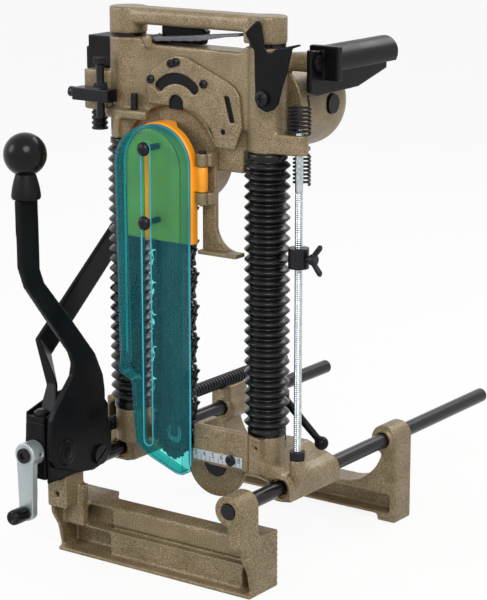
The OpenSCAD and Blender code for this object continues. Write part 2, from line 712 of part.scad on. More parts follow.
wheel_w = 6.2;
wheel_y = -9.3;
wheel_recess_r = 13;
axle_r = 5;
module gauge_wheel() color(gold) difference() {
    union() {
        along_y(wheel_x, wheel_y, wheel_z, wheel_r, wheel_w);
        along_y(wheel_x, wheel_y, wheel_z, axle_r * 2.4, beam_rear_y - wheel_y - gap);
    }
    along_y(wheel_x, wheel_y - over, wheel_z, axle_r + run, beam_rear_y - wheel_y + over * 2);
    along_y(wheel_x, wheel_y - over, wheel_z, wheel_recess_r, wheel_w * 0.4 + over);
}
module wheel_axle() color(dark_steel) {
    along_y(wheel_x, wheel_y + wheel_w * 0.4 - gap - over, wheel_z, axle_r,
        beam_rear_y - wheel_y + beam_wall);
    along_y(wheel_x, wheel_y + gap, wheel_z, wheel_recess_r - gap * 2, wheel_w * 0.4 - gap * 2);
}

// Depth stop
rod_tip_z = 430;
nut_h = 8;
module depth_rod() color(steel) translate([rod_boss_x, 0, tunnel_top]) {
    cylinder(r = depth_rod_d / 2, h = rod_tip_z - tunnel_top - depth_rod_d * 0.6);
    translate([0, 0, rod_tip_z - tunnel_top - depth_rod_d * 0.6])
        cylinder(r1 = depth_rod_d / 2, r2 = depth_rod_d / 8, h = depth_rod_d * 0.6);
}
module depth_rod_nut() color(black) difference() {
    hex_z(rod_boss_x, 0, base_deck, depth_rod_d, nut_h);
    translate([rod_boss_x, 0, base_deck - over]) cylinder(r = depth_rod_d / 2, h = nut_h + over * 2);
}
collar_h = 19;
wing_z = collar_z + collar_h / 2;
wing_bolt_r = 3;
wing_hub_x = rod_boss_x + collar_d / 2 + bush_wall;
module stop_collar() color(black) difference() {
    translate([rod_boss_x, 0, collar_z]) cylinder(r = collar_d / 2, h = collar_h);
    translate([rod_boss_x, 0, collar_z - over]) cylinder(r = depth_rod_d / 2 + run, h = collar_h + over * 2);
    along_x(rod_boss_x, 0, wing_z, wing_bolt_r + run, collar_d);
}
module wing_bolt() color(black) {
    along_x(rod_boss_x + depth_rod_d / 2 + gap, 0, wing_z, wing_bolt_r, wing_hub_x - rod_boss_x);
    along_x(wing_hub_x, 0, wing_z, wing_bolt_r * 1.7, wing_bolt_r * 2);
    for (side = [-1, 1]) hull() {
        along_x(wing_hub_x + wing_bolt_r * 0.6, 0, wing_z + side * wing_bolt_r, wing_bolt_r * 0.8,
            wing_bolt_r * 0.8);
        along_x(wing_hub_x + wing_bolt_r * 3, 0, wing_z + side * wing_bolt_r * 4, wing_bolt_r * 0.9,
            wing_bolt_r * 0.8);
    }
}

// Lock lever on its stud
hub_low = 150;
hub_h = 14;
lock_reach = 47;
lock_drop = 37;
module lock_stud() color(dark_steel) translate([lock_x, lock_y, base_deck - lock_r * 3]) {
    cylinder(r = lock_r, h = hub_low + hub_h + lock_r * 4 - base_deck);
    translate([0, 0, lock_r * 3]) cylinder(r = lock_r * 1.25, h = hub_low - base_deck - gap);
}
module lock_lever() color(black) difference() {
    union() {
        translate([lock_x, lock_y, hub_low]) cylinder(r = lock_r * 2, h = hub_h);
        hull() {
            translate([lock_x + lock_r, lock_y, hub_low + hub_h / 2]) sphere(r = lock_r * 1.05, $fn = 20);
            translate([lock_x + lock_reach, lock_y, hub_low + hub_h / 2 - lock_drop])
                sphere(r = lock_r * 0.85, $fn = 20);
        }
        translate([lock_x + lock_reach, lock_y, hub_low + hub_h / 2 - lock_drop]) sphere(r = lock_r * 1.7);
    }
    translate([lock_x, lock_y, hub_low - over]) cylinder(r = lock_r + run, h = hub_h + over * 2);
}

// Bellows: folds of one wall, with a collar at each end
fold_count = 26;
bellows_tip_r = 21.6;
bellows_valley_r = 16.4;
bellows_wall = 1.3;
bellows_collar = 7;
bellows_low = socket_top + 0.2;
bellows_high = head_z - 0.2;
fold = (bellows_high - bellows_low - bellows_collar * 2) / fold_count;
function fold_points(inset) = [for (i = [0 : fold_count - 1]) each [
    [bellows_valley_r - inset, bellows_low + bellows_collar + fold * i],
    [bellows_tip_r - inset, bellows_low + bellows_collar + fold * (i + 0.5)]]];
function backwards(points) = [for (i = [len(points) - 1 : -1 : 0]) points[i]];
module one_bellows(x) translate([x, 0, 0]) rotate_extrude() polygon(concat(
    [[bellows_valley_r, bellows_low]], fold_points(0),
    [[bellows_valley_r, bellows_high - bellows_collar], [bellows_valley_r, bellows_high],
    [bellows_valley_r - bellows_wall, bellows_high],
    [bellows_valley_r - bellows_wall, bellows_high - bellows_collar]],
    backwards(fold_points(bellows_wall)), [[bellows_valley_r - bellows_wall, bellows_low]]));
module bellows() color(black) {
    one_bellows(-column_x);
    one_bellows(column_x);
}

// Head
ledge_x = -45;
case_r = 43;
web_low = 425;
web_top_shares = [[0, 0], [0, 1], [0.14, 1], [0.16, 0.93], [0.86, 0.92], [0.9, 1], [1, 1], [1, 0]];
module head_outer() {
    mirrored_x() translate([column_x, 0, head_z]) cylinder(r = post_r, h = boss_h);
    slab_y(head_front_y, head_rear_y, -column_x, web_low,
        fitted(web_top_shares, column_x * 2, stack_top - web_low));
    intersection() {
        along_y(recess_x, head_front_y, arch_z, recess_r + case_wall, head_rear_y - head_front_y);
        block(-column_x + boss_r * 0.65, column_x, head_front_y, head_rear_y, head_z, stack_top);
    }
    along_y(chain_x, recess_y, sprocket_z, case_r, head_rear_y - recess_y);
    block(0, column_x - boss_r - gap, recess_y, head_rear_y, head_z - boss_r, head_z);
    block(0, column_x, recess_y, head_rear_y, head_z, web_low + over);
    block(spring_x - spring_seat, spring_x + spring_seat, 0, spring_y + spring_seat,
        head_z, head_z + spring_seat);
    block(-column_x - boss_r * 0.6, ledge_x, head_front_y - boss_r * 0.45, head_front_y + over,
        web_low, web_low + boss_r * 0.4);
    block(-column_x - boss_r * 0.15, -column_x + boss_r * 0.2, -boss_r * 1.05, -boss_r * 0.7,
        head_z + over, web_low + over);
    block(-column_x - boss_r * 1.8, -column_x - boss_r * 0.5, -boss_r * 0.9, 0,
        web_low + boss_r * 0.25, web_low + boss_r * 2);
    hull() {
        block(column_x, column_x + case_wall, -boss_r / 2, boss_r / 2, head_z, head_z + rod_boss_h);
        translate([rod_boss_x, 0, head_z]) cylinder(r = rod_boss_r, h = rod_boss_h);
    }
    along_x(column_x, grip_y, grip_axis_z, grip_pivot_r * 2.2, grip_x - release_t / 2 - gap - column_x);
    along_y(latch_pin_x, -boss_r - bush_wall + over, latch_pin_z, boss_r * 0.36, boss_r * 0.7);
    along_y(motor_x, head_rear_y - over, motor_z, motor_r + over * 2, over + case_wall);
}
rod_boss_r = 8.5;
latch_pin_x = 93.8;
latch_pin_z = 458.6;
module head_casting() color(gold) {
    head_shell();
    along_y(idler_x, front_gear_y - gap, idler_z, idler_pin_r,
        head_rear_y - case_wall - front_gear_y + gap + over);
    for (y = [paddle_y - paddle_half_w - gap, paddle_y + paddle_half_w + gap + ear_t])
        translate([paddle_x, y, paddle_z]) rotate([90, 0, 0]) switch_ear();
    along_y(paddle_x, paddle_y - paddle_half_w - gap - over, paddle_z, paddle_pin_r,
        (paddle_half_w + gap + over) * 2);
}
// One of the two ears on top of the head that hold the pin of the switch lever
module switch_ear() linear_extrude(ear_t) {
    circle(r = paddle_pin_r * 2);
    translate([-paddle_pin_r * 2, -ear_h]) square([paddle_pin_r * 4, ear_h]);
}
ear_t = 3;
ear_h = 8;
idler_pin_r = 3.6;
module head_shell() difference() {
    head_outer();
    mirrored_x() translate([column_x, 0, 0]) {
        translate([0, 0, head_z - over]) cylinder(r = sleeve_r, h = sleeve_above + over);
        translate([0, 0, head_z]) cylinder(r = column_r + over * 0.8, h = boss_h + over);
    }
    along_y(recess_x, head_front_y - over, arch_z, recess_r, recess_y - head_front_y + over);
    block(-column_x + boss_r, recess_x, head_front_y - boss_r, recess_y, head_z - boss_r * 3,
        web_low - over);
    translate([rod_boss_x, 0, head_z - over]) cylinder(r = depth_rod_d / 2 + gap, h = rod_boss_h + over * 2);
    gear_room();
    along_y(chain_x, recess_y - over, sprocket_z, shaft_r + run, case_wall + over * 2);
    along_y(motor_x, rear_gear_y, motor_z, shaft_r * 0.8 + run, head_rear_y);
    along_y(motor_x, motor_y, motor_z, motor_r + over, motor_len);
}
shaft_r = 6;
kidney_x = -13;
// The hollow for the gears is open at the front, behind the gear cover
module gear_room() {
    back = head_rear_y - case_wall;
    along_y(chain_x, recess_y + case_wall, sprocket_z, output_gear_r + over * 1.5,
        back - recess_y - case_wall);
    intersection() {
        along_y(idler_x, head_front_y - over, idler_z, first_sum * 0.86, back - head_front_y + over);
        block(-column_x, column_x - boss_r + over * 2, recess_y + case_wall, back,
            head_z - boss_r + case_wall, stack_top);
    }
    along_y(motor_x, rear_gear_y - over, motor_z, module_size * pinion_teeth * 0.65,
        back - rear_gear_y + over);
    intersection() {
        along_y(idler_x, head_front_y - over, idler_z, first_sum * 0.86, back - head_front_y + over);
        block(kidney_x - boss_r * 1.4, column_x - boss_r, head_front_y - over, recess_y + case_wall + over,
            web_low + boss_r * 0.75, stack_top - boss_r);
    }
}
output_gear_r = output_module * (output_teeth + 2) / 2;

module slot_arc(r, a0, a1, half_w)
    polygon(concat(arc_points(r + half_w, a0, a1, 16), arc_points(r - half_w, a1, a0, 16)));
module gear_cover() color(gold) difference() {
    slab_y(head_front_y - gear_cover_t, head_front_y, cover_plate_x, cover_plate_z,
        fitted(cover_plate_shares, cover_plate_w, cover_plate_h));
    translate([kidney_x, head_front_y + over, dial_z]) rotate([90, 0,
        0]) linear_extrude(gear_cover_t + over * 2) {
        slot_arc(dial_r, dial_from, dial_to, dial_slot / 2);
        for (a = [dial_from, dial_to]) translate([dial_r * cos(a),
            dial_r * sin(a)]) circle(r = dial_slot / 2);
    }
    difference() {
        along_y(chain_x + over, head_front_y - gear_cover_t - over, d_hole_z, d_hole_r,
            gear_cover_t + over * 2);
        block(-column_x, column_x, head_front_y - gear_cover_t - over * 2, head_front_y + over * 2,
            d_hole_z - d_hole_r * 2, d_hole_z - d_hole_r * 0.6);
    }
    slab_y(head_front_y - gear_cover_t - over, head_front_y + over, slant_x, slant_z,
        [[0, slant_h], [slant_w, slant_h], [slant_w * 2.1, 0], [slant_w * 1.1, 0]]);
    along_y(slant_x - over, head_front_y - gear_cover_t - over, slant_z - slant_w * 1.6, slant_w * 0.45,
        gear_cover_t + over * 2);
    for (s = screw_shares) along_y(cover_plate_x + cover_plate_w * s[0], head_front_y - gear_cover_t - over,
        cover_plate_z + cover_plate_h * s[1], cover_screw_r * 0.5, gear_cover_t + over * 2);
}
dial_r = 29;
dial_from = 45;
dial_to = 135;
dial_z = 438;
dial_slot = 10;
d_hole_z = 443;
d_hole_r = 8.5;
slant_x = 41;
slant_z = 431;
slant_w = 6;
slant_h = 24;
cover_screw_r = 4;
screw_shares = [[0.35, 0.905], [0.395, 0.925], [0.157, 0.705], [0.653, 0.705]];
module cover_screws() color(black) {
    for (s = screw_shares) pan_screw(cover_plate_x + cover_plate_w * s[0], head_front_y - gear_cover_t,
        cover_plate_z + cover_plate_h * s[1], cover_screw_r, cover_screw_r * 0.8, gear_cover_t);
    pan_screw(latch_pin_x, latch_rear_y - latch_t - gap, latch_pin_z, latch_pin_r * 2, latch_pin_r * 1.2,
        latch_t + gap);
    along_x(grip_x - release_t / 2 - gap, grip_y, grip_axis_z, grip_pivot_r, release_t + gap * 2);
    along_x(grip_x + release_t / 2 + gap, grip_y, grip_axis_z, grip_pivot_r * 1.8, grip_pivot_r * 0.7);
}

// Top handle, hollow above the columns
grip_half = 14;
handle_bar_low = 514;
module top_handle() color(gold) difference() {
    union() {
        mirrored_x() translate([column_x, 0, stack_top + gasket_t]) cylinder(r = post_r,
            h = handle_h - gasket_t);
        hull() mirrored_x() for (y = [-1, 1]) for (z = [handle_bar_low + round_r, handle_top - round_r])
            along_x(0, y * (grip_half - round_r), z, round_r, column_x, $fn = 32);
        block(column_x - post_r, column_x, -grip_half, grip_half, stack_top, handle_bar_low + round_r);
    }
    mirrored_x() translate([column_x, 0, stack_top - over])
        cylinder(r = column_r + over * 0.8, h = handle_h - case_wall);
    block(-column_x - boss_r - over, column_x + boss_r + over, -boss_r - over, boss_r + over,
        stack_top - boss_r, stack_top + gasket_t);
    along_y(-column_x - boss_r * 0.4, -boss_r - over, stack_top + handle_h * 0.35, over * 1.6, boss_r * 0.7);
}
round_r = 6;
gasket_t = 2.5;
module handle_gasket() color(black) mirrored_x() translate([column_x, 0, stack_top]) difference() {
    cylinder(r = post_r - over, h = gasket_t);
    translate([0, 0, -over]) cylinder(r = column_r + over * 0.8, h = gasket_t + over * 2);
}
module guide_sleeves() color(steel) mirrored_x() translate([column_x, 0,
    head_z - sleeve_below]) difference() {
    cylinder(r = sleeve_r, h = sleeve_below + sleeve_above);
    translate([0, 0, -over]) cylinder(r = column_r + run, h = sleeve_below + sleeve_above + over * 2);
}

// Motor
motor_y = head_rear_y + case_wall;
module motor_housing() color(gold) difference() {
    translate([motor_x, motor_y, motor_z]) rotate([-90, 0, 0]) rotate_extrude($fn = 72) polygon(concat(
        [[0, 0], [motor_r, 0], [motor_r, motor_len]],
        [for (a = [10 : 10 : 80]) [motor_r * 0.45 + motor_r * 0.55 * cos(a), motor_len + dome_len * sin(a)]],
        [[motor_r * 0.45, motor_len + dome_len], [0, motor_len + dome_len]]));
    along_y(motor_x, motor_y - over, motor_z, motor_r - motor_wall, motor_len + over);
    along_y(motor_x, motor_y + motor_len - over, motor_z, motor_r * 0.5, dome_len - motor_wall + over);
    for (i = [-3 : 3]) for (low = [0, 1]) rotate_about(motor_x, motor_z, 195 + i * 11)
        block(motor_r * 0.8, motor_r * 1.2, vent_y, vent_y + vent_len, -vent_w / 2, vent_w / 2);
    along_x(motor_x - motor_r - over * 2, brush_y, motor_z, brush_r, (motor_r + over * 2) * 2);
}
vent_y = 58;
vent_len = 24;
vent_w = 3;
brush_y = 73;
brush_r = 9;
module rotate_about(x, z, angle) translate([x, 0, z]) rotate([0, -angle, 0]) children();
module stator() color([0.45, 0.3, 0.2]) difference() {
    along_y(motor_x, motor_y + motor_wall, motor_z, motor_r - motor_wall, motor_len * 0.45);
    along_y(motor_x, motor_y, motor_z, motor_r * 0.52, motor_len);
}
module armature() color([0.55, 0.35, 0.2]) {
    along_y(motor_x, motor_y + motor_wall, motor_z, motor_r * 0.5, motor_len * 0.45);
    along_y(motor_x, motor_y + motor_len * 0.62, motor_z, motor_r * 0.34, motor_len * 0.2);
    along_y(motor_x, rear_gear_y + gear_w - over, motor_z, shaft_r * 0.8, motor_len + dome_len * 0.4);
    train_gear(motor_x, rear_gear_y, motor_z, pinion_teeth, module_size, gear_w, train_angle, 0);
    difference() {
        along_y(motor_x, motor_y + motor_len * 0.9, motor_z, motor_r * 0.8, motor_wall);
        for (i = [0 : 8]) rotate_about(motor_x, motor_z, i * 40)
            block(motor_r * 0.45, motor_r, motor_y, motor_y + motor_len * 2, -motor_wall, motor_wall / 2);
    }
}
module brush_caps() color(black) for (side = [-1, 1]) {
    along_x(motor_x + side * (motor_r - motor_wall * 2) - motor_wall * 2.5, brush_y, motor_z, brush_r,
        motor_wall * 5);
}
// Straight-sided teeth with room to run; one tooth or gap points along the line of centres
module train_gear(x, y, z, teeth, size, w, aim, phase) translate([x, y, z]) rotate([-90, 0, 0]) {
    root_r = size * (teeth - 2.5) / 2;
    tip_r = size * (teeth + 1.7) / 2;
    step = 360 / teeth;
    linear_extrude(w) polygon([for (i = [0 : teeth - 1]) for (k = [[-0.27, root_r], [-0.12, tip_r],
        [0.12, tip_r], [0.27, root_r]]) let (a = -aim + (i + phase + k[0]) * step) [k[1] * cos(a),
            k[1] * sin(a)]]);
}
module idler_gear() color(steel) difference() {
    union() {
        train_gear(idler_x, rear_gear_y, idler_z, idler_teeth, module_size, gear_w, train_angle + 180, 0.5);
        train_gear(idler_x, front_gear_y, idler_z, idler_small_teeth, output_module,
            rear_gear_y - front_gear_y + over,
            train_angle, 0);
    }
    along_y(idler_x, front_gear_y - over, idler_z, idler_pin_r + run, gear_w * 4);
}
module output_shaft() color(steel) {
    train_gear(chain_x, front_gear_y, sprocket_z, output_teeth, output_module, gear_w, train_angle + 180,
        0.5);
    along_y(chain_x, chain_y - bar_t / 2, sprocket_z, shaft_r, front_gear_y - chain_y + bar_t);
    translate([chain_x, chain_y + bar_t / 2, sprocket_z]) rotate([90, 0, 0]) linear_extrude(bar_t)
        polygon([for (i = [0 : 7]) for (k = [[-0.3, 0.72], [-0.12, 0.97], [0.12, 0.97], [0.3, 0.72]])
            let (a = (i + k[0]) * 45) [chain_inner_r * k[1] * cos(a), chain_inner_r * k[1] * sin(a)]]);
}

// Switch gear
box_left = -column_x - 46.6;
switch_y = 6;
switch_t = 8.8;
switch_w = 52;
switch_h = 16.5;
switch_seat = 5.1;
switch_shares = [[0, 0], [0.92, 0], [1, 0.78], [0.88, 1], [0, 1]];
box_low = 466;
module switch_box() color(black) difference() {
    union() {
        block(box_left, -column_x - boss_r * 0.3, -boss_r * 0.2, boss_r * 1.5,
            box_low + boss_r * 0.2, stack_top - boss_r * 0.1);
        block(box_left - boss_r * 0.3, -column_x - boss_r * 0.9, gap, boss_r * 1.3, box_low,
            box_low + boss_r);
        slab_y(switch_y, switch_y + switch_t, paddle_x, stack_top - switch_seat,
            fitted(switch_shares, switch_w, switch_h));
        along_y(box_left + boss_r / 2, boss_r * 1.5, box_low + boss_r * 0.9, boss_r * 0.4, boss_r * 0.7);
    }
    translate([-column_x, 0, head_z]) cylinder(r = post_r, h = boss_h * 2);
    along_y(box_left + boss_r / 2, boss_r, box_low + boss_r * 0.9, boss_r * 0.22, boss_r * 2);
}
paddle_x = -46;
paddle_len = 103;
paddle_z = stack_top - 0.3;
paddle_t = 2.6;
paddle_rise = 5.3;
paddle_half_w = 7;
paddle_y = -5;
paddle_pin_r = 2;
module switch_lever() color(black) translate([paddle_x, paddle_y, paddle_z]) rotate([0, -paddle_rise, 0]) {
    difference() {
        union() {
            block(0, paddle_len, -paddle_half_w, paddle_half_w, -paddle_t / 2, paddle_t / 2);
            for (y = [-paddle_half_w, paddle_half_w - paddle_t / 2])
                translate([paddle_t * 2, y + paddle_t / 2, 0]) rotate([90, 0,
                    0]) linear_extrude(paddle_t / 2)
                    polygon([[0, 0], [0, -paddle_t], [paddle_len / 2, -paddle_t * 1.6], [paddle_len * 0.95,
                        0]]);
            translate([0, -paddle_half_w, 0]) rotate([-90, 0, 0])
                cylinder(r = paddle_pin_r * 1.7, h = paddle_half_w * 2);
        }
        translate([0, -paddle_half_w - over, 0]) rotate([-90, 0, 0])
            cylinder(r = paddle_pin_r + run, h = paddle_half_w * 2 + over * 2);
    }
}
latch_t = 2.5;
latch_rear_y = -boss_r - 2.4 - gap;
latch_pin_r = 3.4;
module latch_plate() color(black) difference() {
    slab_y(latch_rear_y - latch_t, latch_rear_y, latch_x, latch_z, fitted(latch_shares, latch_w, latch_h));
    along_y(latch_pin_x, latch_rear_y - latch_t - over, latch_pin_z, latch_pin_r + run, latch_t + over * 2);
}

// Side grip: a flat arm with a half tube on it
grip_x = 118;
grip_arm_shares = [[0, 1], [0, 0.1], [0.1, 0], [0.62, 0.03], [1, 0.32], [1, 0.55], [0.25, 0.9]];
grip_len = 132;
grip_y = 21;
grip_low = 457;
grip_h = 43;
grip_r = 15;
grip_axis_z = 487;
grip_pivot_r = 4;
module side_grip() color(black) difference() {
    union() {
        slab_x(grip_x - release_t / 2, grip_x + release_t / 2, grip_y - boss_r * 0.5, grip_low,
            fitted(grip_arm_shares, grip_len, grip_h));
        difference() {
            along_y(grip_x, grip_y + boss_r * 0.6, grip_axis_z, grip_r, grip_len - boss_r * 1.1);
            along_y(grip_x, grip_y + boss_r * 0.6 + release_t, grip_axis_z, grip_r - bush_wall, grip_len);
            block(grip_x - grip_r * 2, grip_x + grip_r * 2, grip_y, grip_y + grip_len + over,
                grip_axis_z - grip_r * 2, grip_axis_z - grip_r * 0.55);
        }
        block(grip_x - grip_r * 0.9, grip_x + grip_r * 1.2, grip_y + boss_r * 0.45,
            grip_y + boss_r * 0.6 + release_t,
            grip_axis_z - grip_r * 1.1, grip_axis_z + grip_r);
    }
    along_x(grip_x - release_t, grip_y, grip_axis_z, grip_pivot_r + run, release_t * 2);
}

// Coil spring round the tip of the depth rod, one unbroken wire with its hook
spring_turns = 7;
spring_r = 10.2;
wire_r = 1.1;
spring_steps = 8;
spring_rise = 3.6;
spring_ring = 6;
// Place and size of the short spring behind the right column
spring_x = 106;
spring_y = 18.5;
spring_seat = 6;
small_spring_r = 7.6;
small_spring_turns = 8;
function coil_point(x, y, r, low, i) = let (t = i / spring_steps) [x + r * cos(360 * t),
    y + r * sin(360 * t),
    low + spring_rise * t];
function ring_at(x, y, r, low, i) = let (c = coil_point(x, y, r, low, i), a = 360 * i / spring_steps,
    e = [cos(a), sin(a), 0]) [for (k = [0 : spring_ring - 1]) let (b = 360 * k / spring_ring)
    c + e * (wire_r * cos(b)) + [0, 0, wire_r * sin(b)]];
module coil(x, y, r, low, turns) {
    n = turns * spring_steps;
    points = [for (i = [0 : n]) each ring_at(x, y, r, low, i)];
    faces = concat([[for (k = [0 : spring_ring - 1]) k]],
        [[for (k = [spring_ring - 1 : -1 : 0]) n * spring_ring + k]],
        [for (i = [0 : n - 1]) for (k = [0 : spring_ring - 1]) let (a = i * spring_ring + k,
            b = i * spring_ring + (k + 1) % spring_ring) each [[a, a + spring_ring, b + spring_ring],
            [a, b + spring_ring, b]]]);
    polyhedron(points = points, faces = faces);
}
module rod_spring() color(dark_steel) {
    coil(rod_boss_x, 0, spring_r, head_z + rod_boss_h + wire_r, spring_turns);
    coil(spring_x, spring_y, small_spring_r, head_z - wire_r - gap - spring_rise * small_spring_turns,
        small_spring_turns);
}
echo(spring_least_gap = spring_rise - wire_r * 2);

// Adjuster at the left of the head
adjuster_x = -92;
adjuster_y = -29.5;
adjuster_r = 4;
adjuster_top = 483;
clamp_low = 441;
clamp_h = 12;
module adjuster() color(black) {
    translate([adjuster_x, adjuster_y, clamp_low - clamp_h * 1.3])
        cylinder(r = adjuster_r, h = adjuster_top - clamp_low + clamp_h);
    hex_z(adjuster_x, adjuster_y, adjuster_top - adjuster_r * 1.6, adjuster_r * 1.8, adjuster_r * 1.6);
    difference() {
        union() {
            block(adjuster_x - boss_r * 1.35, adjuster_x + boss_r * 0.65, adjuster_y - adjuster_r * 1.8,
                -boss_r - gap, clamp_low, clamp_low + clamp_h);
            block(adjuster_x - boss_r * 1.35, adjuster_x - boss_r * 0.6, adjuster_y, -boss_r * 0.9,
                clamp_low, clamp_low + clamp_h);
        }
        translate([adjuster_x, adjuster_y, 0]) cylinder(r = adjuster_r - over, h = clamp_low * 2);
        along_x(adjuster_x - boss_r * 2, adjuster_y + adjuster_r, clamp_low + clamp_h / 2,
            thumb_r * 0.4 + run, boss_r * 1.2);
    }
    hex_z(adjuster_x, adjuster_y, clamp_low + clamp_h, adjuster_r * 1.8, adjuster_r * 1.4);
    translate([-column_x - boss_r * 1.31, -boss_r * 0.45, web_low + boss_r * 0.25 - stub_h]) {
        for (i = [0 : 3]) translate([0, 0, i * stub_h / 4]) cylinder(r = stub_r, h = stub_h / 8);
        cylinder(r = stub_r * 0.8, h = stub_h);
    }
    translate([ledge_x - adjuster_r * 4, head_front_y - adjuster_r * 1.3, web_low + boss_r * 0.4])
        cylinder(r = adjuster_r * 0.85, h = adjuster_r * 4);
}
stub_h = 20;
stub_r = 8;
thumb_r = 5;
module thumb_screw() color(black) {
    along_x(adjuster_x - boss_r * 1.35 - thumb_r * 2 - gap, adjuster_y + adjuster_r, clamp_low + clamp_h / 2,
        thumb_r, thumb_r * 2);
    along_x(adjuster_x - boss_r * 1.35 - gap - over, adjuster_y + adjuster_r, clamp_low + clamp_h / 2,
        thumb_r * 0.4, boss_r * 0.4);
}

// Side bracket with the hinge lugs of the chain cover and a foot
lug_h = 12;
lug_out_r = 6;
module side_bracket() color(gold) difference() {
    union() {
        for (z = [hinge_low, hinge_high - lug_h]) {
            translate([hinge_x, hinge_y, z]) cylinder(r = lug_out_r, h = lug_h);
            block(hinge_x, post_x + post_w, hinge_y + over * 1.5, hinge_y + lug_out_r + over, z, z + lug_h);
            block(post_x, post_x + post_w, hinge_y + over * 1.5, recess_y, z, z + lug_h);
        }
        block(post_x, post_x + post_w, recess_y - post_t, recess_y, foot_low, hinge_high);
        block(foot_left, foot_right, -boss_r, recess_y, foot_low, foot_low + post_t * 0.8);
        difference() {
            block(post_x + post_w - over, post_x + post_w + post_fillet, recess_y - post_t, recess_y,
                foot_low, foot_low + post_fillet);
            along_y(post_x + post_w + post_fillet, recess_y - post_t - over,
                foot_low + post_t * 0.8 + post_fillet, post_fillet, post_t + over * 2);
        }
    }
    translate([hinge_x, hinge_y, hinge_low - over]) cylinder(r = hinge_pin_r,
        h = hinge_high - hinge_low + over * 2);
    along_y(post_x + post_w * 0.6, hinge_y, hinge_high - lug_h / 2, cover_screw_r * 0.6, boss_r);
}
post_x = 14;
post_w = 16;
post_t = 5;
post_fillet = 24;
foot_left = 16;
foot_right = 60;
foot_low = 305;

// Chain, bar and nose wheel
nose_z = sprocket_z - bar_len;
module guide_bar() color([0.3, 0.31, 0.33]) {
    difference() {
        union() {
            block(chain_x - chain_inner_r + gap, chain_x + chain_inner_r - gap, chain_y - bar_t / 2,
                chain_y + bar_t / 2, nose_z, sprocket_z - chain_inner_r - gap);
            along_y(chain_x, chain_y - bar_t / 2, nose_z, chain_inner_r - gap, bar_t);
            block(chain_x - shaft_r, chain_x + shaft_r, chain_y + bar_t / 2 - over, recess_y, bar_mount_low,
                bar_mount_low + shaft_r * 2);
        }
        along_y(chain_x, chain_y - bar_t, nose_z, nose_r + gap, bar_t * 2);
    }
    along_y(chain_x, chain_y - bar_t / 2, nose_z, nose_pin_r, bar_t);
    for (y = [chain_y - bar_t / 2 - bar_cheek, chain_y + bar_t / 2])
        block(chain_x - nose_pin_r, chain_x + nose_pin_r, y, y + bar_cheek,
            nose_z - nose_pin_r, nose_z + nose_r * 1.6);
}
bar_cheek = 1;
nose_pin_r = 3;
nose_r = 9;
bar_mount_low = 352;
module nose_wheel() color(steel) difference() {
    along_y(chain_x, chain_y - bar_t / 2 + gap, nose_z, nose_r, bar_t - gap * 2);
    along_y(chain_x, chain_y - bar_t, nose_z, nose_pin_r + run, bar_t * 2);
}
straight_n = floor(bar_len / chain_pitch);
turn_n = 4;
module chain_link(half) {
    block(-link_h, 0, -link_w / 2, link_w / 2, -half, half);
    rotate([90, 0, 0]) translate([0, 0, -cutter_w / 2]) linear_extrude(cutter_w)
        polygon([[-link_h * 0.4, -half], [tooth_h * 0.5, -half], [tooth_h, -half * 0.2], [tooth_h,
            half * 0.1],
            [tooth_h * 0.3, half * 0.3], [tooth_h * 0.3, half], [-link_h * 0.4, half]]);
}
module chain_links() color(dark_steel) {
    r = cutter_r - tooth_h;
    half = chain_pitch / 2 - gap;
    turn_half = chain_inner_r * tan(90 / turn_n) - gap / 2;
    start = (bar_len - (straight_n - 1) * chain_pitch) / 2;
    for (i = [0 : straight_n - 1]) {
        translate([chain_x + r, chain_y, nose_z + start + i * chain_pitch]) chain_link(half);
        translate([chain_x - r, chain_y, nose_z + start + i * chain_pitch]) rotate([0, 180,
            0]) chain_link(half);
    }
    for (end = [[nose_z, 0], [sprocket_z, 180]]) for (i = [0 : turn_n - 1])
        translate([chain_x, chain_y, end[0]]) rotate([0, end[1] + 180 / turn_n * (i + 0.5), 0])
            translate([r, 0, 0]) chain_link(turn_half);
}

// Covers
module arch_outline(r, low, x) {
    translate([x, arch_z]) circle(r = r, $fn = 96);
    translate([x - r, low]) square([r * 2, arch_z - low]);
}
module arch_shell(y0, y1, r, wall, low, x) difference() {
    translate([0, y1, 0]) rotate([90, 0, 0]) linear_extrude(y1 - y0) arch_outline(r, low, x);
    translate([0, y1 + over, 0]) rotate([90, 0, 0]) linear_extrude(y1 - y0 + over - wall)
        arch_outline(r - wall, low - over, x);
}
module knob_bolt(z) {
    along_y(cover_x + over, guard_front_y - gap * 2, z, knob_shank_r,
        cover_front_y - guard_front_y + gap * 2 + over);
    along_y(cover_x + over, guard_front_y - gap * 2 - knob_shank_r, z, knob_head_r, knob_shank_r);
    translate([cover_x + over, guard_front_y - gap * 2 - knob_shank_r, z]) rotate([90, 0, 0])
        cylinder(r1 = knob_head_r, r2 = knob_head_r * 0.6, h = knob_shank_r * 0.6);
}
module chain_cover() color([0.95, 0.62, 0.12]) difference() {
    union() {
        arch_shell(cover_front_y, cover_rear_y, cover_r, cover_wall, cover_bottom, cover_x);
        translate([hinge_x, hinge_y, hinge_low + lug_h + gap])
            cylinder(r = lug_out_r - over, h = hinge_high - hinge_low - lug_h * 2 - gap * 2);
        block(cover_x + cover_r - cover_wall, hinge_x, hinge_y - cover_wall, hinge_y + cover_wall * 0.6,
            hinge_low + lug_h + gap, hinge_high - lug_h - gap);
        for (z = [knob_z_high, knob_z_low]) knob_bolt(z);
    }
    translate([hinge_x, hinge_y, hinge_low]) cylinder(r = hinge_pin_r + run, h = hinge_high - hinge_low);
    translate([-column_x, 0, cover_bottom - over]) cylinder(r = bellows_tip_r + over,
        h = head_z - cover_bottom);
    block(cover_x + guard_r / 2, cover_x + cover_r + over, cover_right_y, cover_rear_y + over,
        cover_bottom - over,
        arch_z + cover_r);
}
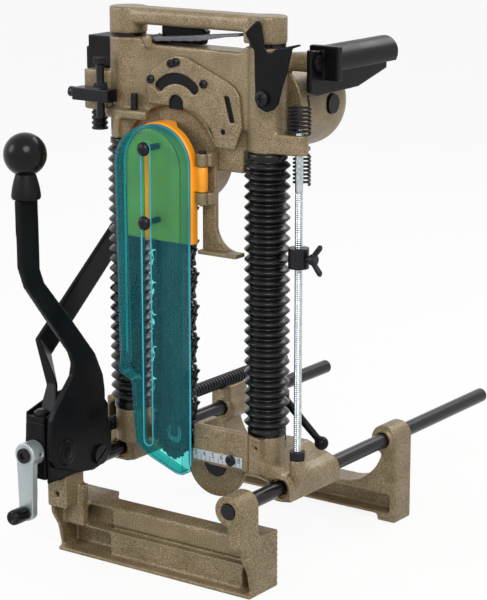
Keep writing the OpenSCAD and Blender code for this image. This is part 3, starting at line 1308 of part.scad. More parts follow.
// The right side of the cover is lower, to clear the chain as it swings
cover_right_y = -18;
module hinge_pin() color(black) {
    translate([hinge_x, hinge_y, hinge_low - over]) cylinder(r = hinge_pin_r,
        h = hinge_high - hinge_low + over);
    translate([hinge_x, hinge_y, hinge_high]) cylinder(r = hinge_pin_r * 1.5, h = hinge_pin_r);
}
module sliding_guard() color([0.1, 0.5, 0.6, 0.6]) difference() {
    union() {
        arch_shell(guard_front_y, guard_rear_y, guard_r, guard_wall, guard_foot_z, cover_x);
        block(cover_x + over - slot_w, cover_x + over + slot_w, guard_front_y, guard_rear_y,
            slot_low - slot_w * 0.6,
            knob_z_high + slot_w);
    }
    block(cover_x + over - slot_w / 2, cover_x + over + slot_w / 2, guard_front_y - over,
        guard_rear_y + over,
        slot_low, knob_z_high);
    for (z = [slot_low, knob_z_high]) along_y(cover_x + over, guard_front_y - over, z, slot_w / 2,
        guard_rear_y - guard_front_y + over * 2);
    guard_cut();
}
slot_low = 121;
// The foot of the guard is cut away to the left, in steps
module guard_cut() {
    slab_y(guard_front_y - over, guard_rear_y + over, cover_x - guard_r - over, guard_foot_z - over,
        [[0, 0], [guard_r * 1.86, 0], [guard_r * 1.86, over], [guard_r * 0.9, guard_foot_h * 0.14],
        [guard_r * 0.62, guard_foot_h * 0.22], [guard_r * 0.55, guard_foot_h * 0.5],
        [guard_r * 0.5, guard_foot_h * 0.78], [guard_r * 0.1, guard_foot_h * 0.83], [0, guard_foot_h]]);
}

front_jaw();
guide_rods();
side_plates();
carrier_trunnions();
fulcrum_bolt();
carrier_block();
release_lever();
release_ball();
foot_bolt();
vise_screw();
crank_arm();
crank_bolt();
crank_knob();
rear_jaw();
half_nut();
long_lever();
lever_ferrule();
lever_ball();
left_block();
right_block();
base_beam();
rod_bushes();
columns();
scale_plate();
scale_screw();
gauge_wheel();
wheel_axle();
depth_rod();
depth_rod_nut();
stop_collar();
wing_bolt();
lock_stud();
lock_lever();
bellows();
head_casting();
gear_cover();
cover_screws();
top_handle();
handle_gasket();
guide_sleeves();
motor_housing();
stator();
armature();
brush_caps();
idler_gear();
output_shaft();
switch_box();
switch_lever();
latch_plate();
side_grip();
rod_spring();
adjuster();
thumb_screw();
side_bracket();
hinge_pin();
guide_bar();
nose_wheel();
chain_links();
chain_cover();
sliding_guard();
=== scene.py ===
# Chain mortiser for timber framing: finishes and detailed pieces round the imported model.
# Settings of pieces are in mm, and what goes into Blender is in metres.
import math

import bmesh
import bpy
import numpy as np
from mathutils import Matrix, Vector


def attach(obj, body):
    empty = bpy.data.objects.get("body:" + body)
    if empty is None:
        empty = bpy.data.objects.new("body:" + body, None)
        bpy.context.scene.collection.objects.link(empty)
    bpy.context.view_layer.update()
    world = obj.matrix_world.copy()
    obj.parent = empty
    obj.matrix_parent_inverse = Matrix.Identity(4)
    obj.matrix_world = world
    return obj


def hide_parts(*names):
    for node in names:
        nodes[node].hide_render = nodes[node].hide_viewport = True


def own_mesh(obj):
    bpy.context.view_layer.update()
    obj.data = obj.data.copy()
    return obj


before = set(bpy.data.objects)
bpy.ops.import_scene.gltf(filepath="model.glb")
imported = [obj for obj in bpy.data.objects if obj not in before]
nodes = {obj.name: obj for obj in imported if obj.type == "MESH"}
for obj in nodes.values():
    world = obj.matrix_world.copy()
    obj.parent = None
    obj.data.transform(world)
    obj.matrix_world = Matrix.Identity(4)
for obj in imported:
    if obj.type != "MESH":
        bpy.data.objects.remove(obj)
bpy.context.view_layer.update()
mm = 0.001
print("frame loaded:", len(nodes), "solids")


# Camera, floor and light
camera = {"place": (1.15805, -1.55257, 0.72208),  # metres
          "yaw": 35.433, "pitch": 13.588,  # degrees
          "lens": 125.03, "sensor": 36.0, "farClip": 100.0}


def placeCamera(settings):
    # Looks along y, tipped down by the pitch, then turned about the vertical by the yaw
    eye = bpy.data.objects.new("viewCamera", bpy.data.cameras.new("viewCamera"))
    tip = Matrix.Rotation(math.radians(90 - settings["pitch"]), 4, "X")
    turn = Matrix.Rotation(math.radians(settings["yaw"]), 4, "Z")
    eye.matrix_world = Matrix.Translation(settings["place"]) @ turn @ tip
    eye.data.sensor_width = settings["sensor"]
    eye.data.lens = settings["lens"]
    eye.data.clip_end = settings["farClip"]
    bpy.context.scene.collection.objects.link(eye)
    bpy.context.scene.camera = eye


def linear(hexColour):
    # sRGB hex to linear light, with full alpha
    parts = [int(hexColour[i:i + 2], 16) / 255 for i in (1, 3, 5)]
    return tuple(c / 12.92 if c <= 0.04045 else ((c + 0.055) / 1.055) ** 2.4 for c in parts) + (1.0,)


def addNode(tree, kind, settings=None, links=None):
    # One node: settings go to its inputs, its own fields or, as stops of place and colour, its colour ramp;
    # links come from other nodes' outputs
    node = tree.nodes.new(kind)
    for key, value in (settings or {}).items():
        if key == "stops":
            bar = node.color_ramp
            while len(bar.elements) < len(value):
                bar.elements.new(0.5)
            for element, (place, colour) in zip(bar.elements, value):
                element.position = place
                element.color = linear(colour)
        elif isinstance(key, int) or key in node.inputs:
            node.inputs[key].default_value = value
        else:
            setattr(node, key, value)
    for key, source in (links or {}).items():
        tree.links.new(source, node.inputs[key])
    return node


def whiteWhereSeen(tree):
    # 1 for camera, glossy and transmission rays, so that the surroundings are white wherever they show
    path = addNode(tree, "ShaderNodeLightPath")
    total = path.outputs["Is Camera Ray"]
    for name in ("Is Glossy Ray", "Is Transmission Ray"):
        total = addNode(tree, "ShaderNodeMath", {"operation": "MAXIMUM"},
                        {0: total, 1: path.outputs[name]}).outputs[0]
    return total


studio = {
    "floorSize": 90.0, "floorColour": "#f4f3f0", "floorShadow": 0.1, "worldLevel": 0.42,
    "lamps": [  # place, aim, size, power, colour
        ((1.3, -1.3, 1.75), (0.0, 0.0, 0.25), 1.2, 30.0, "#fffaf2"),
        ((-1.5, -1.5, 1.3), (0.0, 0.0, 0.25), 1.1, 17.0, "#f4f8ff"),
        ((0.3, 1.5, 1.7), (0.0, 0.0, 0.3), 1.2, 16.0, "#ffffff")]}


def buildStudio(settings):
    # A large sheet of paper under the object, white where it is seen but for the object's shadow
    scene = bpy.context.scene
    scene.view_settings.view_transform = "Standard"
    half = settings["floorSize"] / 2
    corners = [(-half, -half, 0), (half, -half, 0), (half, half, 0), (-half, half, 0)]
    mesh = bpy.data.meshes.new("paleFloor")
    mesh.from_pydata(corners, [], [(0, 1, 2, 3)])
    floor = bpy.data.objects.new("paleFloor", mesh)
    scene.collection.objects.link(floor)
    material, tree, shader = startMaterial("paleFloorPaper", settings["floorColour"], 0.9, 0.0,
                                           {"Specular IOR Level": 0.1})
    share = addNode(tree, "ShaderNodeMath", {"operation": "MULTIPLY", 1: 1 - settings["floorShadow"]},
                    {0: whiteWhereSeen(tree)})
    glow = addNode(tree, "ShaderNodeEmission", {"Color": (1, 1, 1, 1), "Strength": 1.0})
    both = addNode(tree, "ShaderNodeMixShader", None,
                   {0: share.outputs[0], 1: shader.outputs[0], 2: glow.outputs[0]})
    tree.links.new(both.outputs[0], tree.nodes["Material Output"].inputs[0])
    mesh.materials.append(material)

    world = bpy.data.worlds.new("studioWorld")
    world.use_nodes = True
    tree = world.node_tree
    dim = addNode(tree, "ShaderNodeBackground", {"Color": (1, 1, 1, 1), "Strength": settings["worldLevel"]})
    white = addNode(tree, "ShaderNodeBackground", {"Color": (1, 1, 1, 1), "Strength": 1.0})
    both = addNode(tree, "ShaderNodeMixShader", None,
                   {0: whiteWhereSeen(tree), 1: dim.outputs[0], 2: white.outputs[0]})
    tree.links.new(both.outputs[0], tree.nodes["World Output"].inputs[0])
    scene.world = world

    for index, (place, aim, size, power, colour) in enumerate(settings["lamps"]):
        lamp = bpy.data.lights.new(f"softLamp{index}", "AREA")
        lamp.shape = "DISK"
        lamp.size = size
        lamp.energy = power
        lamp.color = linear(colour)[:3]
        holder = bpy.data.objects.new(f"softLamp{index}", lamp)
        turn = (Vector(aim) - Vector(place)).to_track_quat("-Z", "Y").to_matrix().to_4x4()
        holder.matrix_world = Matrix.Translation(place) @ turn
        scene.collection.objects.link(holder)


def startMaterial(name, colour, roughness, metallic=0.0, more=None):
    # A material with its plain colour and gloss set on the shader, before any pattern
    material = bpy.data.materials.new(name)
    material.use_nodes = True
    tree = material.node_tree
    shader = tree.nodes["Principled BSDF"]
    shader.inputs["Base Color"].default_value = linear(colour)
    shader.inputs["Roughness"].default_value = roughness
    shader.inputs["Metallic"].default_value = metallic
    for key, value in (more or {}).items():
        shader.inputs[key].default_value = value
    return material, tree, shader


placeCamera(camera)
buildStudio(studio)
print("camera and studio placed")


# Finishes, each named for what the real one is, but for the two named as painted light
def objectNoise(tree, sizeMm, detail=2.0, roughness=0.5, stretch=(1, 1, 1)):
    # Noise whose blobs are sizeMm across, in the piece's own space
    place = addNode(tree, "ShaderNodeTexCoord")
    turn = addNode(tree, "ShaderNodeMapping", {"Scale": stretch}, {"Vector": place.outputs["Object"]})
    settings = {"Scale": 1 / (sizeMm * mm), "Detail": detail, "Roughness": roughness}
    return addNode(tree, "ShaderNodeTexNoise", settings, {"Vector": turn.outputs[0]}).outputs["Fac"]


def textureSurface(tree, shader, relief, heightMm, strength, gloss, low, high):
    # The relief pattern lifts the surface by up to heightMm, and the gloss pattern takes its roughness from
    # low to high
    bump = addNode(tree, "ShaderNodeBump", {"Distance": heightMm * mm, "Strength": strength},
                   {"Height": relief})
    tree.links.new(bump.outputs[0], shader.inputs["Normal"])
    spread = addNode(tree, "ShaderNodeMapRange",
                     {"From Min": 0.3, "From Max": 0.7, "To Min": low, "To Max": high}, {"Value": gloss})
    tree.links.new(spread.outputs[0], shader.inputs["Roughness"])


def hammeredPaint(name, dark, body, light, grainMm, smooth, rough):
    # Hammertone lacquer sprayed on cast aluminium: fine dark pits in a gold flake coat
    material, tree, shader = startMaterial(name, body, 0.42, 0.3, {"Coat Weight": 0.1, "Coat Roughness": 0.3})
    grain = objectNoise(tree, grainMm, 2.0, 0.6)
    clouds = objectNoise(tree, 22.0)
    fleck = addNode(tree, "ShaderNodeValToRGB", {"stops": [(0.38, dark), (0.50, body), (0.64, light)]},
                    {"Fac": grain})
    shade = addNode(tree, "ShaderNodeValToRGB", {"stops": [(0.3, "#ddd8cd"), (0.7, "#ffffff")]},
                    {"Fac": clouds})
    coat = addNode(tree, "ShaderNodeMix", {"data_type": "RGBA", "blend_type": "MULTIPLY", 0: 1.0},
                   {6: fleck.outputs["Color"], 7: shade.outputs["Color"]})
    tree.links.new(coat.outputs[2], shader.inputs["Base Color"])
    textureSurface(tree, shader, grain, 0.2, 0.6, grain, rough, smooth)
    return material


def smoothCoat(name, colour, lighter, roughness, metallic, peelMm, peelHeight, more=None):
    # A coat or moulding of one colour with faint clouds and the fine ripple of its surface
    material, tree, shader = startMaterial(name, colour, roughness, metallic, more)
    peel = objectNoise(tree, peelMm)
    clouds = objectNoise(tree, 30.0, 3.0)
    tone = addNode(tree, "ShaderNodeValToRGB", {"stops": [(0.35, colour), (0.75, lighter)]}, {"Fac": clouds})
    tree.links.new(tone.outputs["Color"], shader.inputs["Base Color"])
    textureSurface(tree, shader, peel, peelHeight, 0.6, clouds, roughness * 0.85, roughness * 1.25)
    return material


def drawnMetal(name, colour, darker, roughness, stretch, metallic):
    # Ground or drawn metal: fine lines along the way it was worked
    material, tree, shader = startMaterial(name, colour, roughness, metallic)
    lines = objectNoise(tree, 1.0, 2.0, 0.5, stretch)
    tone = addNode(tree, "ShaderNodeValToRGB", {"stops": [(0.3, darker), (0.65, colour)]}, {"Fac": lines})
    tree.links.new(tone.outputs["Color"], shader.inputs["Base Color"])
    textureSurface(tree, shader, lines, 0.03, 0.5, lines, roughness * 0.8, roughness * 1.3)
    return material


hammeredGold = hammeredPaint("hammeredGoldLacquer", "#64553e", "#8b7a5e", "#a69678", 0.85, 0.36, 0.52)
roughGold = hammeredPaint("goldLacquerOnRoughCasting", "#5e4f36", "#88785b", "#a49577", 1.05, 0.42, 0.58)
blackPaint = smoothCoat("blackEnamelOnSteelPlate", "#0b0b0d", "#121215", 0.32, 0.0, 1.6, 0.04,
                        {"Specular IOR Level": 0.12})
blackPlastic = smoothCoat("blackMouldedPhenolic", "#0a0a0c", "#101013", 0.18, 0.0, 3.0, 0.03,
                          {"Specular IOR Level": 0.2})
satinPlastic = smoothCoat("blackSatinNylon", "#0e0e10", "#141417", 0.4, 0.0, 1.2, 0.05,
                          {"Specular IOR Level": 0.15})
# Painted light: the switch paddle is black paint, and this grey, lighter than the other blacks, stands in for
# the light on its top face
paddleGreyPaintedLight = smoothCoat("paddleGreyForPaintedLight", "#55565c", "#6e7077", 0.4, 0.3, 1.2, 0.05)
foldedRubber = smoothCoat("blackFoldedRubber", "#0b0b0d", "#111114", 0.25, 0.0, 1.4, 0.03,
                          {"Specular IOR Level": 0.28})
blackOxide = drawnMetal("blackOxideSteel", "#2b2b2f", "#151518", 0.34, (1, 0.08, 1), 0.75)
blackRod = drawnMetal("blackenedGroundRod", "#232326", "#131315", 0.26, (1, 0.05, 1), 0.6)
zincBright = drawnMetal("brightZincPlate", "#d5dde0", "#8f9a9e", 0.2, (1, 1, 0.3), 1.0)
castZinc = smoothCoat("bareCastZinc", "#a3adb0", "#bcc5c7", 0.36, 0.6, 1.0, 0.1)
groundSteel = drawnMetal("groundSteel", "#b9bcc0", "#85888c", 0.24, (1, 1, 0.1), 1.0)
barSteel = drawnMetal("oiledBarSteel", "#4e5156", "#303236", 0.3, (1, 1, 0.06), 0.9)
chainSteel = smoothCoat("oiledChainSteel", "#1f2124", "#4b4f55", 0.3, 0.85, 1.5, 0.06)
bronze = smoothCoat("sinteredBronze", "#8a6a34", "#a5834a", 0.45, 0.9, 0.8, 0.05)
copperWinding = smoothCoat("varnishedCopperWinding", "#6b3a1c", "#8f5328", 0.35, 0.6, 0.8, 0.2)
printedAluminium = drawnMetal("satinAluminiumStrip", "#c4cad0", "#aab1b8", 0.4, (0.1, 1, 1), 0.55)
printInk = smoothCoat("blackPrintInk", "#16171a", "#24262b", 0.6, 0.0, 0.6, 0.02)
orangePlastic = smoothCoat("orangeMouldedAbs", "#f79a17", "#fbab2b", 0.35, 0.0, 1.2, 0.04)


def slantShare(tree, low, high, most):
    # For clear plastic alone: 0 where its wall is seen square on, up to most where it is seen aslant
    turned = addNode(tree, "ShaderNodeLayerWeight", {"Blend": 0.5}).outputs["Facing"]
    settings = {"From Min": low, "From Max": high, "To Min": 0.0, "To Max": most}
    return addNode(tree, "ShaderNodeMapRange", settings, {"Value": turned}).outputs[0]


def tintedPlastic(name, body, through, deep, pale, bodyShare, roughness):
    # Clear polycarbonate dyed teal: light goes through tinted, deeper where the wall is seen aslant; a small
    # share scatters as the dye's own colour, and the skin mirrors at a grazing angle
    material, tree, shader = startMaterial(name, body, roughness, 0.0, {"Specular IOR Level": 0.6})
    tint = addNode(tree, "ShaderNodeMix", {"data_type": "RGBA", 6: linear(through), 7: linear(deep)},
                   {0: slantShare(tree, 0.35, 0.9, 1.0)})
    # Only what the eye sees through it is tinted in full, because the moulding is open at the back and lets
    # light in there
    seen = addNode(tree, "ShaderNodeLightPath").outputs["Is Camera Ray"]
    passed = addNode(tree, "ShaderNodeMix", {"data_type": "RGBA", 6: linear(pale)},
                     {0: seen, 7: tint.outputs[2]})
    clear = addNode(tree, "ShaderNodeBsdfTransparent", None, {"Color": passed.outputs[2]})
    share = addNode(tree, "ShaderNodeMath", {"operation": "ADD", 1: bodyShare},
                    {0: slantShare(tree, 0.3, 1.0, 0.45)})
    both = addNode(tree, "ShaderNodeMixShader", None,
                   {0: share.outputs[0], 1: clear.outputs[0], 2: shader.outputs[0]})
    tree.links.new(both.outputs[0], tree.nodes["Material Output"].inputs[0])
    bump = addNode(tree, "ShaderNodeBump", {"Distance": 0.1 * mm, "Strength": 0.3},
                   {"Height": objectNoise(tree, 14.0, 1.0)})
    tree.links.new(bump.outputs[0], shader.inputs["Normal"])
    return material


tealPlastic = tintedPlastic("tealClearPolycarbonate", "#4d9bad", "#b0f9f2", "#55b9c6", "#e6ffff", 0.1, 0.08)
# Painted highlight: the beads on the moulding's edges are a bright teal with a faint glow in the colour of
# their highlights, though they are no lamp
tealEdgePaintedHighlight = smoothCoat("tealEdgePaintedGlow", "#2a9fb6", "#45bdd2", 0.18, 0.0, 4.0, 0.02,
                      {"Specular IOR Level": 0.6, "Emission Color": linear("#1f95b0"),
                       "Emission Strength": 0.12})
print("finishes ready")


# Mesh helpers
def finishPiece(piece, material, body, replaced=(), smooth=True):
    # Gives a piece its finish, the body it rides on and the solids that it stands for
    mesh = piece.data
    mesh.update()
    mesh.validate()
    mesh.materials.clear()
    mesh.materials.append(material)
    mesh.polygons.foreach_set("use_smooth", np.full(len(mesh.polygons), smooth))
    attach(piece, body)
    if replaced:
        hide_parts(*replaced)
    return piece


def makePiece(name, points, faces, material, body, replaced=(), smooth=True):
    # A piece from points in mm
    mesh = bpy.data.meshes.new(name)
    mesh.from_pydata((np.asarray(points, float).reshape(-1, 3) * mm).tolist(), [], faces)
    piece = bpy.data.objects.new(name, mesh)
    bpy.context.scene.collection.objects.link(piece)
    return finishPiece(piece, material, body, replaced, smooth)


def weld(piece, distance=1e-6, normals=True):
    # Merges points closer than the distance, in metres, and turns the faces outwards
    work = bmesh.new()
    work.from_mesh(piece.data)
    bmesh.ops.remove_doubles(work, verts=work.verts, dist=distance)
    if normals:
        bmesh.ops.recalc_face_normals(work, faces=work.faces)
    work.to_mesh(piece.data)
    work.free()
    piece.data.update()


def gridFaces(rows, columns, closeRows=False, closeColumns=False, start=0):
    # Four-sided faces of a grid of rows by columns, wrapped where it closes; start is the grid's first point
    i = np.arange(rows if closeRows else rows - 1)[:, None]
    j = np.arange(columns if closeColumns else columns - 1)[None, :]
    i2, j2 = (i + 1) % rows, (j + 1) % columns
    quads = np.stack([i * columns + j, i * columns + j2, i2 * columns + j2, i2 * columns + j], -1)
    return (quads.reshape(-1, 4) + start).tolist()


def prismFaces(count, start=0):
    # Sides and ends of a prism whose first ring of points is followed by its second
    here = np.arange(count) + start
    after = np.roll(here, -1)
    sides = np.stack([here, after, after + count, here + count], -1)
    return sides.tolist() + [here[::-1].tolist(), (here + count).tolist()]


def revolve(profile, segments, closed=False):
    # A profile of (radius, height) turned about the vertical axis: x = r cos a, y = r sin a, z = h
    profile = np.asarray(profile, float)
    angle = np.linspace(0, 2 * np.pi, segments, endpoint=False)
    ring = np.stack([np.cos(angle), np.sin(angle)], -1)
    flat = profile[:, None, 0:1] * ring[None]
    height = np.broadcast_to(profile[:, None, 1:2], flat.shape[:2] + (1,))
    return np.concatenate([flat, height], -1), gridFaces(len(profile), segments, closed, True)


def turnedPiece(name, profile, place, material, body, replaced=(), forward=False):
    # A profile of (radius, height) turned about an upright axis, or about one that points to the front
    points, faces = revolve(profile, turnedSegments)
    if forward:
        points = np.stack([points[..., 0], -points[..., 2], points[..., 1]], -1)
    weld(makePiece(name, points + np.array(place), faces, material, body, replaced))


def wireTube(path, radius, ring, start=0):
    # A circle of the wire's radius carried along the path, square to its direction at each point
    along = np.gradient(path, axis=0)
    along /= np.linalg.norm(along, axis=1, keepdims=True)
    side = np.cross(along, np.array([0.13, 0.21, 0.97]))  # any direction that the path never takes
    side /= np.linalg.norm(side, axis=1, keepdims=True)
    up = np.cross(side, along)
    angle = np.linspace(0, 2 * np.pi, ring, endpoint=False)
    circle = np.cos(angle)[None, :, None] * side[:, None] + np.sin(angle)[None, :, None] * up[:, None]
    points = (path[:, None] + radius * circle).reshape(-1, 3)
    first = np.arange(ring) + start
    last = first + (len(path) - 1) * ring
    return points, gridFaces(len(path), ring, False, True, start) + [first.tolist(), last[::-1].tolist()]


def arcPoints(x, z, radius, angle):
    # Points of a circle in the front view: x + r cos a, z + r sin a
    return np.stack([x + radius * np.cos(angle), z + radius * np.sin(angle)], -1)


def atDepth(plan, y):
    # Points (x, z) of the front view set at depth y
    x, z, y = np.broadcast_arrays(plan[..., 0], plan[..., 1], y)
    return np.stack([x, y, z], -1)


turnedSegments = 56


# Castings and bent or forged parts, with rounded edges
relaxSet = {"factor": 0.5, "weldDistance": 2e-6}


def roundPiece(name, source, voxelMm, rounds, material, body):
    # The solid's own shape, welded, remade on a fine grid and relaxed, so that its edges
    # get the radius of a casting: each point moves to the mean of its neighbours, rounds times
    piece = bpy.data.objects.new(name, nodes[source].data.copy())
    bpy.context.scene.collection.objects.link(piece)
    weld(piece, relaxSet["weldDistance"], False)
    grid = piece.modifiers.new("grid", "REMESH")
    grid.mode = "VOXEL"
    grid.voxel_size = voxelMm * mm
    relax = piece.modifiers.new("relax", "SMOOTH")
    relax.factor = relaxSet["factor"]
    relax.iterations = rounds
    bpy.context.view_layer.update()
    done = bpy.data.meshes.new_from_object(piece.evaluated_get(bpy.context.evaluated_depsgraph_get()))
    piece.modifiers.clear()
    piece.data = done
    print(f"{name}: {len(done.polygons) * 2} triangles")
    finishPiece(piece, material, body, (source,))


roundedParts = {  # piece: solid, grid in mm, rounds, finish, body, slot
    "castHead": ("head_casting", 1.6, 4, hammeredGold, "head", "gold"),
    "castGearCover": ("gear_cover", 0.9, 4, hammeredGold, "head", "gold"),
    "castTopHandle": ("top_handle", 1.5, 8, hammeredGold, "head", "gold"),
    "castMotorHousing": ("motor_housing", 1.6, 4, hammeredGold, "head", "gold"),
    "castSideBracket": ("side_bracket", 0.9, 5, hammeredGold, "head", "gold"),
    "castFrontJaw": ("front_jaw", 1.4, 4, roughGold, "vise_frame", "gold"),
    "castRearJaw": ("rear_jaw", 1.4, 5, hammeredGold, "rear_vise_jaw", "gold"),
    "castLeftBlock": ("left_block", 1.3, 5, hammeredGold, "base", "gold"),
    "castRightBlock": ("right_block", 1.3, 5, hammeredGold, "base", "gold"),
    "castBeam": ("base_beam", 1.2, 3, hammeredGold, "base", "gold"),
    "castGaugeWheel": ("gauge_wheel", 0.9, 3, roughGold, "travel_wheel", "gold"),
    "bladeLongLever": ("long_lever", 1.0, 4, blackPaint, "feed_lever", "black_paint"),
    "flatReleaseLever": ("release_lever", 1.0, 4, blackPaint, "screw_carrier", "black_paint"),
    "pressedSidePlates": ("side_plates", 0.9, 3, blackPaint, "vise_frame", "black_paint"),
    "forgedCarrier": ("carrier_block", 1.1, 5, blackPaint, "screw_carrier", "black_paint"),
    "castCrankArm": ("crank_arm", 0.8, 5, castZinc, "crank", "zinc"),
    "forgedLockLever": ("lock_lever", 0.9, 4, blackPaint, "lock", "black_paint"),
    "forgedWingBolt": ("wing_bolt", 0.5, 4, blackOxide, "collar_screw", "black_steel"),
    "stampedLatch": ("latch_plate", 0.7, 3, blackPaint, "latch", "black_paint"),
    "mouldedSwitchBox": ("switch_box", 1.1, 4, satinPlastic, "head", "black_plastic"),
    "switchPaddle": ("switch_lever", 0.8, 3, paddleGreyPaintedLight, "switch", "black_paint"),
    "clampAdjuster": ("adjuster", 0.7, 3, blackOxide, "head", "black_steel"),
    "mouldedSideGrip": ("side_grip", 0.9, 5, blackPaint, "grip", "black_plastic"),
}
for pieceName, (source, voxel, rounds, material, body, slotName) in roundedParts.items():
    roundPiece(pieceName, source, voxel, rounds, material, body)
print("rounded parts ready:", len(roundedParts))


# Bellows
bellowsSet = {
    "columnX": 80.4, "low": 135.7, "high": 404.8, "collar": 7.0, "collarRadius": 18.3,
    "folds": 26, "valley": 16.4, "tip": 21.6, "wall": 1.3, "perFold": 10, "segments": 56,
    "rounding": 0.006, "leastShare": 0.02, "bulge": 0.92,
    "foot": [(-0.9, 0.0), (0.0, 0.8), (0.0, 5.4)],  # past the collar's radius, above the low end
    "top": [(0.6, -5.6), (0.6, -0.8), (-0.4, 0.0)],  # past the collar's radius, above the high end
    "keep": 0.688}


def buildBellows(s):
    # Radius along the height: a triangle wave with its corners rounded by a square root, and a plain
    # collar at each end; a second wall inside closes the tube
    t = np.linspace(0, s["folds"], s["folds"] * s["perFold"] + 1)
    wave = 1 - np.sqrt((2 * (t % 1) - 1) ** 2 + s["rounding"])
    wave = np.maximum(wave, s["leastShare"]) / wave.max()
    height = s["low"] + s["collar"] + (s["high"] - s["low"] - 2 * s["collar"]) * t / s["folds"]
    radius = s["valley"] + (s["tip"] - s["valley"]) * wave ** s["bulge"]
    foot = np.array(s["foot"]) + (s["collarRadius"], s["low"])
    top = np.array(s["top"]) + (s["collarRadius"], s["high"])
    bore = s["valley"] - s["wall"]
    inner = [(bore, s["high"]), (bore, s["low"])]
    profile = np.concatenate([foot, np.stack([radius, height], -1), top, inner])
    points, faces = revolve(profile, s["segments"], True)
    both = [points + (side * s["columnX"], 0, 0) for side in (-1, 1)]
    second = np.array(faces) + points[..., 0].size
    piece = makePiece("foldedBellows", np.stack(both), faces + second.tolist(), foldedRubber, "base",
                      ("bellows",))
    weld(piece, 1e-7)
    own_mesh(piece)


buildBellows(bellowsSet)
print("bellows ready")


# Depth rod
rodSet = {
    "x": 115.5, "low": 100.5, "threadTop": 372.0, "tip": 430.0, "radius": 3.75, "chamfer": 0.4,
    "pitch": 2.0, "depth": 0.5, "grooveShares": (0.0, 0.3, 0.5, 0.7), "segments": 28,
    "tipShares": [(1.0, 4.0), (0.84, 2.2), (0.347, 0.4), (0.0, 0.0)]}  # share of the radius, drop in mm


def buildDepthRod(s):
    # Rings of the rod: a V groove for each pitch up to the plain part, then a cone at the tip
    count = int((s["threadTop"] - s["low"]) / s["pitch"])
    height = s["low"] + (np.arange(count)[:, None] + np.array(s["grooveShares"])) * s["pitch"]
    radius = np.broadcast_to(s["radius"] - np.array([0, 0, s["depth"], s["depth"]]), height.shape)
    start = [(0.0, s["low"]), (s["radius"] - s["chamfer"], s["low"])]
    tip = [(s["radius"] * share, s["tip"] - drop) for share, drop in s["tipShares"]]
    profile = np.concatenate([start, np.stack([radius.ravel(), height.ravel()], -1),
                              [(s["radius"], s["threadTop"])], tip])
    points, faces = revolve(profile, s["segments"])
    weld(makePiece("threadedDepthRod", points + (s["x"], 0, 0), faces, zincBright, "base",
                   ("depth_rod",)))


buildDepthRod(rodSet)


# Balls and knobs, each a turned profile of (radius, height)
leverTop = {
    "place": (-86.2, -145.5, 365.5), "ball": 20.0, "ballRise": 41.0, "neck": 5.5, "neckDrop": 40.0,
    "ferrule": [(4.8, 0.0), (12.6, 0.0), (13.6, 1.2), (13.7, 4.0), (12.6, 11.0), (11.2, 17.0), (10.0, 21.0),
                (9.4, 23.2), (8.4, 24.2), (4.8, 24.2), (4.8, 0.0)]}
crankKnobSet = {
    "place": (-104.0, -137.6, 57.6),
    "profile": [(0.0, 0.0), (6.2, 0.0), (7.0, 0.8), (7.4, 4.0), (7.5, 10.0), (7.4, 16.0), (7.0, 18.6),
                (6.0, 19.8), (3.6, 20.0), (3.4, 18.8), (0.0, 18.6)]}


def ballProfile(radius, neckRadius, neckDrop):
    # Half circle from the top down to where it meets the neck, then the neck
    angle = np.linspace(0, math.pi - math.asin(neckRadius / radius), 40)
    arc = np.stack([radius * np.sin(angle), radius * np.cos(angle)], -1)
    return np.concatenate([arc, [(neckRadius, -neckDrop), (0.0, -neckDrop)]])


turnedPiece("longLeverBall", ballProfile(leverTop["ball"], leverTop["neck"], leverTop["neckDrop"]),
            np.array(leverTop["place"]) + (0, 0, leverTop["ballRise"]), blackPlastic, "feed_lever",
            ("lever_ball",))
turnedPiece("longLeverFerrule", leverTop["ferrule"], leverTop["place"], satinPlastic, "feed_lever",
            ("lever_ferrule",))
turnedPiece("crankKnob", crankKnobSet["profile"], crankKnobSet["place"], blackPlastic, "crank_grip",
            ("crank_knob",), True)
print("rod, balls and knobs ready")


# Tension spring round the rod's tip and the short one behind it
springSet = {
    "wire": 1.05, "perTurn": 40, "ring": 10, "rise": 3.6,
    "coils": [{"x": 115.5, "y": 0.0, "low": 425.1, "radius": 10.2, "turns": 7,
               "hook": [(-1.5, 3.0, 1.2), (-3.4, 5.2, 3.0), (-5.0, 6.4, 6.0), (-6.0, 7.2, 9.0)]},
              {"x": 106.0, "y": 18.5, "low": 374.8, "radius": 7.6, "turns": 8, "hook": []}]}


def buildSprings(s):
    # Each coil is a helix: x = r cos a, y = r sin a, z rises evenly with a; its upper end runs on to its hook
    points, faces, start = [], [], 0
    for coil in s["coils"]:
        a = np.linspace(0, 2 * np.pi * coil["turns"], coil["turns"] * s["perTurn"] + 1)
        path = np.stack([coil["x"] + coil["radius"] * np.cos(a), coil["y"] + coil["radius"] * np.sin(a),
                         coil["low"] + s["rise"] * a / (2 * np.pi)], -1)
        path = np.concatenate([path, path[-1] + np.array(coil["hook"]).reshape(-1, 3)])
        tube, tubeFaces = wireTube(path, s["wire"], s["ring"], start)
        points.append(tube)
        faces += tubeFaces
        start += len(tube)
    weld(makePiece("coilSprings", np.concatenate(points), faces, blackOxide, "head",
                   ("rod_spring",)), 1e-8)


buildSprings(springSet)


